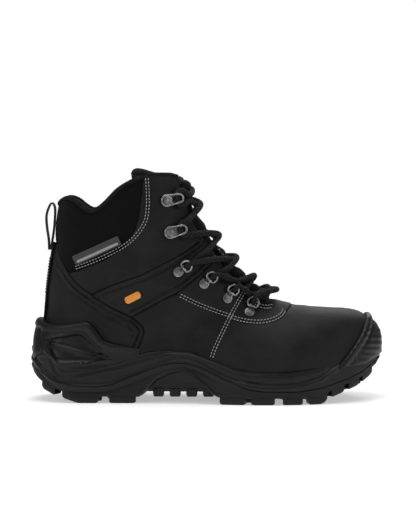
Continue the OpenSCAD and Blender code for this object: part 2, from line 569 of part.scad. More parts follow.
// D-shaped wire: the straight bar lies on the y axis and the arch reaches out along x
module d_ring() {
    bar = 2 * (sqrt(ring_r * ring_r - ring_out * ring_out) + ring_wire / 2 + 0.2);
    rotate([90, 0, 0]) cylinder(h = bar, d = bar_d, center = true, $fn = 48);
    intersection() {
        translate([ring_out, 0, 0]) rotate_extrude($fn = 64) translate([ring_r, 0]) circle(d = ring_wire,
            $fn = 32);
        translate([0, -20, -20]) cube(40);
    }
}
module ring_clips() color([0.3, 0.31, 0.33])
    for (i = [0:3], side = [-1, 1]) at_place(ring_places[i], side, ring_off(i)) ring_clip();
module ring_rivets() color([0.42, 0.43, 0.45])
    for (i = [0:3], side = [-1, 1]) at_place(ring_places[i], side, ring_off(i)) rivet();
module ring(i, side) color([0.3, 0.31, 0.33])
    at_place(ring_places[i], side, ring_off(i)) translate([bar_out, 0, bar_rise]) rotate([0, -ring_tilt,
        0]) d_ring();
module ring_lateral_1() ring(0, 1);
module ring_lateral_2() ring(1, 1);
module ring_lateral_3() ring(2, 1);
module ring_lateral_4() ring(3, 1);
module ring_medial_1() ring(0, -1);
module ring_medial_2() ring(1, -1);
module ring_medial_3() ring(2, -1);
module ring_medial_4() ring(3, -1);

// Open hook: the foot is riveted down and the lace sits in the bend at its front
module speed_hook() {
    difference() {
        union() {
            cylinder(h = 0.9, d = 9.6, $fn = 48);
            translate([0, -4.2, 0]) cube([9, 8.4, 0.9]);
            translate([9, 0, 0]) cylinder(h = 0.9, d = 8.4, $fn = 48);
            translate([11.4, -3.2, 0]) cube([1.2, 6.4, 6.6]);
            translate([5.6, -3.2, 5.7]) cube([7, 6.4, 0.9]);
        }
        translate([0, 0, -1]) cylinder(h = 3, d = 3.2, $fn = 48);
    }
}
module speed_hooks() color([0.3, 0.31, 0.33])
    for (p = hook_places, side = [-1, 1]) at_place(p, side, clip_rise) speed_hook();
module hook_rivets() color([0.42, 0.43, 0.45])
    for (p = hook_places, side = [-1, 1]) at_place(p, side, clip_rise) rivet();

// ---- Lace ---------------------------------------------------------------------------------------

// Round a ring's arch, from over it to under it: [pull, across, out] in the frame of its clip
arch = [bar_out + (ring_out + ring_r) * cos(ring_tilt), 0, bar_rise + (ring_out + ring_r) * sin(ring_tilt)];
function ring_turn(i, side) =
    let (f = frame_at(ring_places[i], side, ring_off(i)))
    [for (t = [115, 70, 23, -23, -70, -112]) in_frame(f,
        arch - 3.5 * cos(t) * [cos(ring_tilt), 0, sin(ring_tilt)]
        + 4 * sin(t) * [-sin(ring_tilt), 0, cos(ring_tilt)])];
// Under a hook's top, upwards
hook_route = [[14, -5.8, 3.3], [9.6, -4.6, 3.3], [8.9, 0, 3.3], [9.6, 4.6, 3.3], [14, 5.8, 3.3]];
function hook_turn(i, side) =
    let (f = frame_at(hook_places[i], side, clip_rise))
    [for (p = hook_route) in_frame(f, [p[0], side * p[1], p[2]])];
// Where the lace crosses the tongue between rows: [rib, height of the lower lace], then the ribs of its
// edges
crossings = [[8.0, 2.7, 8.7, 7.5], [6.1, 2.7, 6.6, 5.7], [4.3, 3.1, 4.7, 4.0], [2.9, 3.6, 3.3, 2.6],
    [1.6, 2.7, 1.9, 1.4]];
function crossing(k, side, over) =
    let (c = crossings[k], rise = c[1] + (over ? 4.5 : 0))
    [skin(c[2], side * 1.15 * throat_angle(c[2]), 3.2), skin(c[0], side * 0.01, rise),
     skin(c[3], -side * 1.15 * throat_angle(c[3]), 5.2)];
// One end of the lace from the first row up: it starts at the ring on the given side
function lace_run(side) =
    [for (k = [0:3]) each [each ring_turn(k, side * (k % 2 == 0 ? 1 : -1)),
        each crossing(k, side * (k % 2 == 0 ? 1 : -1), side > 0)],
     each hook_turn(0, side), each crossing(4, side, side > 0), each hook_turn(1, -side)];
// Loose ends as [rib, angle, height], down the inner side of the ankle
end_over = [[0.75, 24, 6.5], [0.55, -6, 3.2], [0.5, -40, 4.6], [0.55, -62, 3], [1.0, -80, 2.5],
    [1.6, -92, 2.5],
    [2.3, -98, 2.5], [3.0, -100, 2.6], [3.7, -98, 3.4]];
end_under = [[0.95, -47, 3.6], [0.88, -56, 3.2], [1.1, -68, 2.6], [1.6, -77, 2.5], [2.2, -80, 2.5],
    [2.8, -84, 2.5],
    [3.3, -88, 2.6]];
function loose(list) = [for (p = list) skin(p[0], p[1], p[2])];
lace_path = [each backwards(loose(end_under)), each backwards(lace_run(1)), skin(9.35, 0.01, 8),
    each lace_run(-1),
    each loose(end_over)];
tip_len = 18;
tip_d = 3.4;
module lace() color([0.1, 0.1, 0.1]) tube(lace_path, lace_d, 8);
module lace_tip(end, before) {
    d = unit(end - before);
    translate(end) rotate([0, acos(d[2]), atan2(d[1], d[0])]) cylinder(h = tip_len, d = tip_d, $fn = 48);
}
module lace_tips() color([0.1, 0.1, 0.1]) {
    n = len(lace_path);
    lace_tip(lace_path[0], lace_path[1]);
    lace_tip(lace_path[n - 1], lace_path[n - 2]);
}

outsole();
midsole();
heel_stabiliser();
toe_guard();
steel_toe_cap();
steel_midsole_plate();
insole_board();
footbed();
heel_stiffener();
vamp();
quarter_lower_lateral();
quarter_lower_medial();
quarter_upper_lateral();
quarter_upper_medial();
ankle_strap_lateral();
ankle_strap_medial();
lace_facing();
heel_panel();
padded_collar();
collar_binding();
lining_shaft();
lining_vamp();
tongue();
lace_keeper();
pull_loop();
backstay_tape();
side_label();
side_badge();
ring_clips();
ring_rivets();
speed_hooks();
hook_rivets();
lace();
lace_tips();
ring_lateral_1();
ring_lateral_2();
ring_lateral_3();
ring_lateral_4();
ring_medial_1();
ring_medial_2();
ring_medial_3();
ring_medial_4();
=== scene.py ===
"""Looks of a lace-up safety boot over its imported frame, with the floor, the lights and the camera."""
import math

import bmesh
import bpy
import numpy as np
from bpy.props import FloatProperty, PointerProperty
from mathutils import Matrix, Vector, kdtree
from mathutils.geometry import delaunay_2d_cdt


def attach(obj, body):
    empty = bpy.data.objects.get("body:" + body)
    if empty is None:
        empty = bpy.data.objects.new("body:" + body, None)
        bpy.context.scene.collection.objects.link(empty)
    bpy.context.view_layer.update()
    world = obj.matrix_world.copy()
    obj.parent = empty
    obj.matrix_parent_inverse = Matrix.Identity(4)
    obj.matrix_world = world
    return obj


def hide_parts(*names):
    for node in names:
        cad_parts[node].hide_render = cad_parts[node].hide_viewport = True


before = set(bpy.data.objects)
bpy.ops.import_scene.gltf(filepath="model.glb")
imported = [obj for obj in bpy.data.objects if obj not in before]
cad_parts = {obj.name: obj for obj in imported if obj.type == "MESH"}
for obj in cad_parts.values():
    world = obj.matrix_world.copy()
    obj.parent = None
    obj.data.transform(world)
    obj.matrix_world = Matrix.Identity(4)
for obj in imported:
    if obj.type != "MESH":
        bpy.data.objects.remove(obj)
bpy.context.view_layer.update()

bl_info = {
    "name": "Safety Boot",
    "version": (1, 0, 0),
    "blender": (4, 5, 0),
    "location": "3D View > Sidebar > Boot",
    "description": "Builds the leather, textile, sole, lace and metal pieces of a lace-up safety boot",
    "category": "Add Mesh",
}

MM = 0.001
SHARP_FROM = math.radians(50)   # faces that meet at more than this are shaded with a crease
SIDES = (1, -1)                 # outer side of the foot, inner side
SIDE_NAME = {1: "lateral", -1: "medial"}

# ---- The last ------------------------------------------------------------------------------------
# Everything below is worked out in millimetres on the frame's own axes and scaled when a mesh is made.

# Ribs of the last: front x, front z, back x, back z, half width, share of the span where it is widest,
# roundness of the front, share of the width kept at the back end
RIBS = np.array([
    [-22, 202, -128, 184, 36.5, 0.45, 2.0, 0.00],
    [-17, 180, -127, 162, 36.5, 0.45, 2.0, 0.00],
    [-7, 153, -128.6, 141, 35.5, 0.45, 2.0, 0.00],
    [6, 134, -132.6, 118, 35.5, 0.47, 2.0, 0.00],
    [17, 120, -135.6, 95, 36.0, 0.50, 2.0, 0.00],
    [27, 109, -137.5, 74, 36.5, 0.55, 2.0, 0.00],
    [35, 101, -139, 52, 36.5, 0.60, 2.0, 0.20],
    [42, 94.5, -134, 31, 36.0, 0.65, 2.0, 0.60],
    [48, 90, -108, 25, 35.2, 0.70, 2.0, 0.80],
    [54, 86.5, -70, 23, 35.6, 0.72, 2.0, 0.86],
    [61, 84, -30, 21, 37.8, 0.74, 2.0, 0.86],
    [70, 81.7, 8, 18.5, 43.0, 0.76, 2.05, 0.86],
    [80, 79.5, 40, 17, 48.5, 0.77, 2.15, 0.86],
    [92, 78, 68, 17, 50.0, 0.78, 2.3, 0.86],
    [106, 77, 92, 18.5, 47.5, 0.78, 2.4, 0.86],
    [119, 76, 112, 21.5, 41.5, 0.78, 2.5, 0.86],
    [130, 73.5, 127, 25.5, 34.0, 0.78, 2.5, 0.86],
    [138, 68, 137, 31, 24.5, 0.75, 2.4, 0.80],
    [142.5, 59, 142.5, 38, 14.0, 0.60, 2.2, 0.60],
    [144.5, 49, 144.5, 47, 2.0, 0.50, 2.0, 0.50]])
LAST_RIB = len(RIBS) - 1
GAP_HALF = np.array([[0, 17], [2, 16], [5, 15], [7.5, 12.5], [8.8, 9], [9.4, 5], [9.7, 0]])


def ease(f):
    c = np.clip(f, 0, 1)
    return c * c * (3 - 2 * c)


def mix(a, b, f):
    return a + (b - a) * f


def bead(distance, rise, wide):
    """A rounded ridge of the given rise about distance 0."""
    return rise * np.exp(-(distance / wide) ** 2)


def round_over(f, least=0.0):
    """Quarter circle from least at f = 0 to 1 at f = 1."""
    return np.sqrt(np.clip(1 - (1 - np.clip(f, 0, 1)) ** 2, least, 1))


def unit(v):
    """Vectors of length 1, for one vector or for each row."""
    return v / np.maximum(np.linalg.norm(v, axis=-1, keepdims=True), 1e-9)


def arc_lengths(points):
    """Distance along a line of points, from its start to each of them."""
    return np.r_[0, np.cumsum(np.linalg.norm(np.diff(points, axis=0), axis=1))]


def sample(values, at, places):
    """Rows of a table interpolated at the given places."""
    return np.stack([np.interp(places, at, values[:, k]) for k in range(values.shape[1])], 1)


def softened(path, times):
    """A line with fixed ends whose bends are eased."""
    for _ in range(times):
        path[1:-1] = (path[:-2] + 2 * path[1:-1] + path[2:]) / 4
    return path


def along(rows, u):
    """Points of a Catmull-Rom curve through the rows of a table; row i is reached at u = i."""
    rows = np.asarray(rows, float)
    u = np.asarray(u, float)
    i = np.clip(np.floor(u).astype(int), 0, len(rows) - 2)
    f = (u - i)[..., None]
    p, q = rows[np.maximum(i - 1, 0)], rows[i]
    r, s = rows[i + 1], rows[np.minimum(i + 2, len(rows) - 1)]
    return 0.5 * (2 * q + (r - p) * f + (2 * p - 5 * q + 4 * r - s) * f ** 2
                  + (3 * q - p - 3 * r + s) * f ** 3)


def curve(rows, per_span=10):
    return along(rows, np.linspace(0, len(rows) - 1, (len(rows) - 1) * per_span + 1))


def centre_y(x):
    return -0.4 + 8.5 * ease((x - 40) / 115) - 4.6 * np.exp(-(x / 55) ** 2)


def bare_skin(u, a):
    """Outside of the leather on rib u; a is 0 in front, 180 behind or below, the outer side between."""
    u, a = np.broadcast_arrays(np.asarray(u, float), np.asarray(a, float))
    r = along(RIBS, u)
    t = (1 - np.cos(np.radians(a))) / 2
    widest, power, kept = r[..., 5], r[..., 6], r[..., 7]
    front = np.maximum(0, 1 - np.maximum(0, (widest - t) / widest) ** power) ** (1 / power)
    back = kept + (1 - kept) * np.sqrt(np.maximum(0, 1 - np.maximum(0, (t - widest) / (1 - widest)) ** 2))
    x = mix(r[..., 0], r[..., 2], t)
    side = np.sign(np.round(np.sin(np.radians(a)), 12))
    y = centre_y(x) - side * r[..., 4] * np.where(t < widest, front, back)
    return np.stack([x, y, mix(r[..., 1], r[..., 3], t)], -1)


def skin_normal(u, a):
    u, a = np.broadcast_arrays(np.asarray(u, float), np.asarray(a, float))
    u0, u1 = np.maximum(0, u - 0.1), np.minimum(LAST_RIB, u + 0.1)
    b = np.mod(a, 360)
    near = np.abs(b - 180) < 1.5
    a0 = np.where(near & (b > 180), b, b - 1.5)
    a1 = np.where(near & (b <= 180), b, b + 1.5)
    n = -np.cross(bare_skin(u1, b) - bare_skin(u0, b), bare_skin(u, a1) - bare_skin(u, a0))
    return unit(n)


def skin(u, a, off=0.0):
    return bare_skin(u, a) + np.asarray(off, float)[..., None] * skin_normal(u, a)


def locate(points):
    """[rib, angle] of the places on the outer side that show at [x, z] in a side view."""
    points = np.asarray(points, float)
    lo, hi = np.zeros(len(points)), np.full(len(points), float(LAST_RIB))
    for _ in range(24):
        mid = (lo + hi) / 2
        r = along(RIBS, mid)
        x, z = points[:, 0] - r[:, 0], points[:, 1] - r[:, 1]
        ahead = (r[:, 2] - r[:, 0]) * z > (r[:, 3] - r[:, 1]) * x
        lo, hi = np.where(ahead, mid, lo), np.where(ahead, hi, mid)
    u = (lo + hi) / 2
    r = along(RIBS, u)
    span = r[:, 2:4] - r[:, 0:2]
    t = ((points - r[:, 0:2]) * span).sum(1) / (span ** 2).sum(1)
    return np.stack([u, np.degrees(np.arccos(np.clip(1 - 2 * t, -1, 1)))], 1)


def throat_angle(u):
    """Angle of the lace gap's edge on a rib."""
    u = np.asarray(u, float)
    r = along(RIBS, u)
    g = np.interp(u, GAP_HALF[:, 0], GAP_HALF[:, 1])
    w = 1 - (1 - np.minimum(1, g / r[..., 4]) ** r[..., 6]) ** (1 / r[..., 6])
    return np.degrees(np.arccos(1 - 2 * r[..., 5] * w))


# ---- Lines on the upper, as [x, z] in the side view ----------------------------------------------

COLLAR_TOP = curve([
    [-52, 189.5], [-62, 186], [-74, 179], [-81, 172], [-86, 167], [-91, 163], [-98, 160.2], [-105, 164],
    [-111, 169], [-118, 171.5], [-124, 169], [-128, 165]])
COLLAR_LOW = curve([
    [-53, 187], [-55.5, 166], [-58, 152], [-62, 141], [-69, 132], [-75, 127], [-82, 122], [-90, 118],
    [-104, 112.5], [-117, 109], [-125, 121], [-127.7, 134]])
HEEL_LINE = curve([
    [-127.7, 134], [-125, 122], [-118, 109.5], [-108, 98], [-96.5, 90], [-80, 80], [-65, 73], [-56, 66],
    [-53, 60], [-56, 51], [-60, 42]])
STRAP_TOP = curve([
    [-96.5, 90.5], [-83, 97], [-69, 102], [-55, 107], [-42, 113.5], [-28, 120.5], [-17, 127], [-8, 134]])
STRAP_LOW = curve([
    [-63, 72.5], [-49, 80], [-38, 86], [-26.5, 92], [-18, 98], [-10.5, 104], [-1, 112], [6, 119]])
FACING_LOW = curve([
    [-26, 91], [-12, 84.5], [2, 79], [17.5, 71.8], [28, 67.5], [38, 66.3], [48, 66.6], [56, 68.6], [63, 72],
    [67.5, 77]])
VAMP_SEAM = curve([[17.5, 71.8], [12, 61], [7, 50], [2.5, 40], [-1, 31]])
UPPER_TOP = np.array([[-52, 190.5], [-45, 191], [-31, 191], [-25, 189.5], [-16, 184]])


# ---- Meshes --------------------------------------------------------------------------------------

def finish_piece(name, points, faces, body, nodes, key, uv=None):
    """Makes a mesh object from points in millimetres and hands it to the frame."""
    name = name.replace(" ", "_")
    mesh = bpy.data.meshes.new(name)
    mesh.from_pydata((np.asarray(points) * MM).tolist(), [], [list(map(int, f)) for f in faces])
    if uv is not None:
        layer = mesh.uv_layers.new(name="thread")
        loops = np.array([loop.vertex_index for loop in mesh.loops])
        layer.data.foreach_set("uv", np.asarray(uv, float)[loops].ravel())
    work = bmesh.new()
    work.from_mesh(mesh)
    bmesh.ops.recalc_face_normals(work, faces=work.faces)
    work.to_mesh(mesh)
    work.free()
    mesh.polygons.foreach_set("use_smooth", [True] * len(mesh.polygons))
    piece = bpy.data.objects.new(name, mesh)
    bpy.context.collection.objects.link(piece)
    mesh.set_sharp_from_angle(angle=SHARP_FROM)
    mesh.materials.append(material(key))
    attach(piece, body)
    if nodes:
        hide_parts(*nodes)
    return piece


class Soup:
    """Points and faces gathered from several shapes into one mesh."""

    def __init__(self):
        self.points, self.faces, self.uv, self.count = [], [], [], 0

    def add(self, points, faces, uv=None):
        points = np.asarray(points, float).reshape(-1, 3)
        self.points.append(points)
        self.uv.append(np.zeros((len(points), 2)) if uv is None else uv)
        self.faces += [[i + self.count for i in f] for f in faces]
        self.count += len(points)

    def piece(self, name, body, slot, nodes, key):
        finish_piece(name, np.vstack(self.points), self.faces, body, nodes, key, np.vstack(self.uv))


def grid_faces(rows, columns, wrap=False, start=0):
    """Faces between neighbours in a grid of points; wrap joins the last column to the first."""
    faces = []
    for i in range(rows - 1):
        for j in range(columns if wrap else columns - 1):
            k = (j + 1) % columns
            faces.append([start + i * columns + j, start + i * columns + k,
                          start + (i + 1) * columns + k, start + (i + 1) * columns + j])
    return faces


def capped_faces(rows, columns):
    """Faces of stacked closed rings whose first and last ring are one face each."""
    return grid_faces(rows, columns, wrap=True) + [list(range(columns))[::-1],
                                                   [(rows - 1) * columns + j for j in range(columns)]]


def strip_faces(rows, columns):
    """Faces of stacked closed rings whose first and last ring are filled in strips across."""
    faces = grid_faces(rows, columns, wrap=True)
    for start in (0, (rows - 1) * columns):
        faces += [[start + j, start + j + 1, start + columns - 2 - j, start + columns - 1 - j]
                  for j in range(columns // 2 - 1)]
    return faces


def closed_grid(outer, inner):
    """A thick sheet from an outer and an inner grid of the same size."""
    n, m = outer.shape[:2]
    size = n * m
    faces = grid_faces(n, m) + [f[::-1] for f in grid_faces(n, m, start=size)]
    rim = ([j for j in range(m)] + [i * m + m - 1 for i in range(1, n)]
           + [(n - 1) * m + j for j in range(m - 2, -1, -1)] + [i * m for i in range(n - 2, 0, -1)])
    for a, b in zip(rim, rim[1:] + rim[:1]):
        faces.append([b, a, a + size, b + size])
    return np.vstack([outer.reshape(-1, 3), inner.reshape(-1, 3)]), faces


def resample(points, step):
    """The same line with even steps."""
    points = np.asarray(points, float)
    lengths = arc_lengths(points)
    count = max(2, int(round(lengths[-1] / step)) + 1)
    return sample(points, lengths, np.linspace(0, lengths[-1], count))


def tube_mesh(path, radius, sides=10, flat=1.0, normals=None):
    """Points, faces and thread coordinates of a closed tube; flat squeezes it along the normals."""
    path = np.asarray(path, float)
    tangent = unit(np.gradient(path, axis=0))
    if normals is None:
        normals = np.zeros_like(path)
        n = np.cross(tangent[0], [0.31, 0.17, 0.93])
        for i, t in enumerate(tangent):
            n = n - n.dot(t) * t
            n /= np.linalg.norm(n)
            normals[i] = n
    across = np.cross(tangent, normals)
    radius = np.broadcast_to(radius, len(path))
    turn = np.linspace(0, 2 * np.pi, sides, endpoint=False)
    rings = (path[:, None] + radius[:, None, None] * (flat * np.cos(turn)[None, :, None] * normals[:, None]
                                                      + np.sin(turn)[None, :, None] * across[:, None]))
    uv = np.stack(np.broadcast_arrays((turn / (2 * np.pi))[None, :], arc_lengths(path)[:, None] / 10), -1)
    return rings.reshape(-1, 3), capped_faces(len(path), sides), uv.reshape(-1, 2)


def rounded_ends(radius, count, step, roll):
    """Radii of a tube whose ends are rounded over a length of roll."""
    d = np.minimum(np.arange(count), np.arange(count)[::-1]) * step
    return radius * round_over(d / roll, 0.02)


def inside(points, polygon):
    """Which points lie inside a closed outline."""
    x, y = points[:, 0][:, None], points[:, 1][:, None]
    x0, y0 = polygon[:, 0][None], polygon[:, 1][None]
    x1, y1 = np.roll(polygon[:, 0], -1)[None], np.roll(polygon[:, 1], -1)[None]
    crosses = ((y0 > y) != (y1 > y)) & (x < (x1 - x0) * (y - y0) / np.where(y1 == y0, 1e-9, y1 - y0) + x0)
    return crosses.sum(1) % 2 == 1


def line_distance(points, line, closed=False):
    """Distance from each [x, z] to a line of points."""
    a = np.asarray(line, float)
    b = np.roll(a, -1, axis=0) if closed else a[1:]
    a = a if closed else a[:-1]
    d = b - a
    best = np.full(len(points), 1e9)
    for p, v in zip(a, d):
        t = np.clip(((points - p) @ v) / max(v @ v, 1e-9), 0, 1)
        best = np.minimum(best, np.linalg.norm(points - p - t[:, None] * v, axis=1))
    return best


FLAT = np.array([12.0, 0.72])   # millimetres on the leather for one rib and for one degree, about
# Distances from the edge of a panel at which rings of points carry the relief that runs along it
WELT_RINGS = (0.4, 1.0, 1.7, 2.4, 3.1, 3.8, 4.5, 5.2, 5.9, 6.7, 7.5, 8.4)


class Panel:
    """A cut piece of the upper: a closed sheet between two distances from the last."""

    def __init__(self, outline, pitch=2.6, edge_step=1.3, rings=(0.4, 1.1), creases=()):
        flat = resample(np.vstack([outline, outline[:1]]) * FLAT, edge_step)[:-1]
        area = 0.5 * np.sum(flat[:, 0] * np.roll(flat[:, 1], -1) - np.roll(flat[:, 0], -1) * flat[:, 1])
        if area < 0:
            flat = flat[::-1]
        along_edge = np.roll(flat, -1, axis=0) - np.roll(flat, 1, axis=0)
        inward = unit(np.stack([-along_edge[:, 1], along_edge[:, 0]], 1))
        tree = kdtree.KDTree(len(flat))
        for i, p in enumerate(flat):
            tree.insert((p[0], p[1], 0), i)
        tree.balance()

        def clearance(places):
            return np.array([tree.find((p[0], p[1], 0))[2] for p in places])
        points = [flat]
        for depth in rings:
            ring = flat + depth * inward
            points.append(ring[inside(ring, flat) & (clearance(ring) > 0.85 * depth)])
        edges = [(i, (i + 1) % len(flat)) for i in range(len(flat))]
        marks = []
        for crease in creases:
            run = resample(crease * FLAT, edge_step)
            run = run[inside(run, flat) & (clearance(run) > 0.6)]
            start = sum(len(p) for p in points)
            gaps = np.linalg.norm(np.diff(run, axis=0), axis=1)
            edges += [(start + i, start + i + 1) for i in range(len(run) - 1) if gaps[i] < 2 * edge_step]
            points.append(run)
            marks.append(run)
        low, high = flat.min(0), flat.max(0)
        xs = np.arange(low[0], high[0], pitch)
        ys = np.arange(low[1], high[1], pitch * 0.87)
        grid = np.array([[x + (j % 2) * pitch / 2, y] for j, y in enumerate(ys) for x in xs])
        grid = grid[inside(grid, flat)]
        free = clearance(grid) > rings[-1] + pitch * 0.45
        if marks:
            marks = np.vstack(marks)
            free &= np.min(np.linalg.norm(grid[:, None] - marks[None], axis=2), axis=1) > 0.5 * pitch
        points.append(grid[free])
        done = delaunay_2d_cdt([Vector(p) for p in np.vstack(points)], edges, [], 1, 1e-4)
        self.where = np.array([list(v) for v in done[0]]) / FLAT
        self.triangles = [list(f) for f in done[2]]
        self.loop = self.boundary()
        self.base = bare_skin(self.where[:, 0], self.where[:, 1])
        self.normal = skin_normal(self.where[:, 0], self.where[:, 1])
        self.depth = self.edge_distance()

    def boundary(self):
        """Directed edges that only one triangle uses."""
        used = dict.fromkeys((a, b) for f in self.triangles for a, b in zip(f, f[1:] + f[:1]))
        return [(a, b) for a, b in used if (b, a) not in used]

    def edge_distance(self):
        """Distance from each point to the nearest point of the cut edge."""
        rim = sorted({a for a, _ in self.loop})
        tree = kdtree.KDTree(len(rim))
        for i in rim:
            tree.insert(self.base[i], i)
        tree.balance()
        return np.array([tree.find(p)[2] for p in self.base])

    def solid(self, top, low):
        """Closed mesh with the given offsets on its outer and inner faces."""
        top = np.broadcast_to(top, len(self.base))
        low = np.broadcast_to(low, len(self.base))
        n = len(self.base)
        points = np.vstack([self.base + top[:, None] * self.normal, self.base + low[:, None] * self.normal])
        faces = [f[:] for f in self.triangles] + [[i + n for i in f[::-1]] for f in self.triangles]
        faces += [[b, a, a + n, b + n] for a, b in self.loop]
        return points, faces

    def piece(self, top, low, name, body, slot, nodes, key):
        points, faces = self.solid(top, low)
        return finish_piece(name, points, faces, body, nodes, key,
                            uv=np.tile(self.where * FLAT, (2, 1)))


def rolled(depth, drop, roll):
    """How far a cut edge of leather falls below the surface: drop at the cut, nothing beyond roll."""
    return -drop * (1 - round_over(depth / roll))


# ---- Shaders -------------------------------------------------------------------------------------

class Value:
    """One output of a shader node; sums of them read as plain arithmetic."""

    def __init__(self, shader, out):
        self.shader, self.out = shader, out

    def math(self, kind, *operands):
        node = self.shader.tree.nodes.new("ShaderNodeMath")
        node.operation = kind
        for socket, operand in zip(node.inputs, operands):
            self.shader.feed(socket, operand)
        return Value(self.shader, node.outputs[0])

    def __add__(self, other):
        return self.math("ADD", self, other)

    def __sub__(self, other):
        return self.math("SUBTRACT", self, other)

    def __rsub__(self, other):
        return self.math("SUBTRACT", other, self)

    def __mul__(self, other):
        return self.math("MULTIPLY", self, other)

    def sine(self):
        return self.math("SINE", self)

    def absolute(self):
        return self.math("ABSOLUTE", self)

    def at_least(self, other):
        return self.math("MAXIMUM", self, other)

    def ramp(self, low, high):
        """0 below low, 1 above high, smooth between."""
        return self.shader.node("MapRange", {"Value": self, "From Min": low, "From Max": high},
                                interpolation_type="SMOOTHSTEP", clamp=True)

    __radd__ = __add__
    __rmul__ = __mul__


class Shader:
    """A material with one principled shader; keyword values are constants of its sockets."""

    def __init__(self, name, **constants):
        self.material = bpy.data.materials.new(name)
        self.material.use_nodes = True
        self.tree = self.material.node_tree
        self.surface = self.tree.nodes["Principled BSDF"]
        for socket, value in constants.items():
            self.surface.inputs[socket.replace("_", " ")].default_value = value

    def feed(self, socket, value):
        if isinstance(value, Value):
            self.tree.links.new(value.out, socket)
        else:
            socket.default_value = value

    def node(self, kind, inputs=None, output=0, **settings):
        node = self.tree.nodes.new("ShaderNode" + kind)
        for key, value in settings.items():
            setattr(node, key, value)
        for key, value in (inputs or {}).items():
            self.feed(node.inputs[key], value)
        return Value(self, node.outputs[output])

    def place(self, x=1000.0, y=1000.0, z=1000.0):
        """Place on the object in millimetres, stretched if the factors differ."""
        at = self.node("TexCoord", output="Object")
        return self.node("VectorMath", {0: at, 1: (x, y, z)}, operation="MULTIPLY")

    def thread(self):
        """Place across and along a woven or cut piece, in millimetres."""
        split = self.node("SeparateXYZ", {"Vector": self.node("UVMap", uv_map="thread")})
        return split, Value(self, split.out.node.outputs[1])

    def noise(self, at, scale, detail=3.0, roughness=0.5):
        return self.node("TexNoise", {"Vector": at, "Scale": scale, "Detail": detail, "Roughness": roughness})

    def cells(self, at, scale):
        return self.node("TexVoronoi", {"Vector": at, "Scale": scale})

    def blend(self, factor, a, b):
        """Colour between two colours."""
        return self.node("Mix", {"Factor": factor, 6: a, 7: b}, output=2, data_type="RGBA")

    def set(self, socket, value):
        self.feed(self.surface.inputs[socket], value)

    def bump(self, height, millimetres):
        inputs = {"Height": height, "Strength": 1.0, "Distance": millimetres * MM}
        self.set("Normal", self.node("Bump", inputs))


def grey(value, warm=0.0):
    return (value * (1 + warm), value, value * (1 - warm), 1.0)


def leather_material(name, tone):
    s = Shader(name, Specular_IOR_Level=0.2)
    at = s.place()
    cloud = s.noise(at, 0.028, 5.0, 0.6)
    rub = s.noise(s.place(700, 1000, 1300), 0.11, 6.0, 0.65)
    grain = s.cells(at, 1.15)
    fine = s.noise(at, 2.6, 3.0)
    fold = s.noise(s.place(300, 1000, 1000), 0.16, 3.0)
    wear = rub.ramp(0.5, 0.78)
    s.set("Base Color",
          s.blend(cloud.ramp(0.32, 0.7) * 0.65 + wear * 0.35, grey(tone * 0.45), grey(tone * 2.1, 0.02)))
    s.set("Roughness", 0.5 + cloud * 0.22 + wear * 0.08 - fine * 0.08)
    s.bump(grain * 0.35 + fine * 0.5 + fold * 1.1, 0.16)
    return s.material


def rubber_material(name, tone, rough=0.47):
    s = Shader(name, Specular_IOR_Level=0.24)
    at = s.place()
    dust = s.noise(at, 0.05, 5.0, 0.65)
    fine = s.noise(at, 1.6, 2.0)
    s.set("Base Color", s.blend(dust.ramp(0.35, 0.75), grey(tone * 0.85), grey(tone * 1.4)))
    s.set("Roughness", rough + dust * 0.16)
    s.bump(fine, 0.05)
    return s.material


def woven_material(name, tone, pitch, height, rough=0.85):
    """Plain weave that follows the piece's own thread directions."""
    s = Shader(name, Specular_IOR_Level=0.12, Sheen_Weight=0.03)
    u, v = s.thread()
    turn = 2 * math.pi / pitch
    over = (u * turn).sine() * (v * turn).sine()
    rows = (u * turn * 2).sine().absolute() + (v * turn * 2).sine().absolute()
    fuzz = s.noise(s.place(), 1.3, 4.0, 0.7)
    weave = over * 0.6 + rows * 0.3
    s.set("Base Color", s.blend((weave * 0.4 + fuzz).ramp(0.1, 1.1), grey(tone * 0.45), grey(tone * 1.7)))
    s.set("Roughness", rough + fuzz * 0.1)
    s.bump(weave + fuzz * 0.4, height)
    return s.material


def webbing_material(name, tone):
    s = Shader(name, Specular_IOR_Level=0.3, Sheen_Weight=0.1)
    u, v = s.thread()
    ribs = (v * 5.2 + (u * 4.0).sine() * 0.8).sine()
    s.set("Base Color", s.blend(ribs.ramp(-1.0, 1.0), grey(tone * 0.6), grey(tone * 1.6)))
    s.set("Roughness", 0.75 + ribs * 0.05)
    s.bump(ribs, 0.18)
    return s.material


def lace_material(name, tone):
    """Round braid: two sets of strands wind round the lace in opposite directions; their crowns carry a
    painted highlight.
    """
    s = Shader(name, Specular_IOR_Level=0.24, Sheen_Weight=0.03)
    u, v = s.thread()
    round_ = u * (2 * math.pi * 6)
    along_ = v * 16.0
    left = (round_ + along_).sine()
    right = (round_ - along_).sine()
    strand = left.at_least(right)
    fuzz = s.noise(s.place(), 1.8, 3.0, 0.7)
    # Base colour: a painted highlight that is lighter on the strands' crowns, mixed with random fuzz in the
    # cord's own tone.
    s.set("Base Color",
          s.blend((strand * 0.5 + fuzz * 0.7).ramp(0.0, 1.0), grey(tone * 0.3), grey(tone * 1.9)))
    s.set("Roughness", 0.72 + fuzz * 0.15)
    s.bump(strand + fuzz * 0.3, 0.4)
    return s.material


def thread_material(name, tone):
    s = Shader(name, Specular_IOR_Level=0.3)
    fuzz = s.noise(s.place(), 2.2, 3.0, 0.6)
    s.set("Base Color", s.blend(fuzz, grey(tone * 0.6), grey(tone * 1.25)))
    s.set("Roughness", 0.6 + fuzz * 0.2)
    s.bump(fuzz, 0.08)
    return s.material


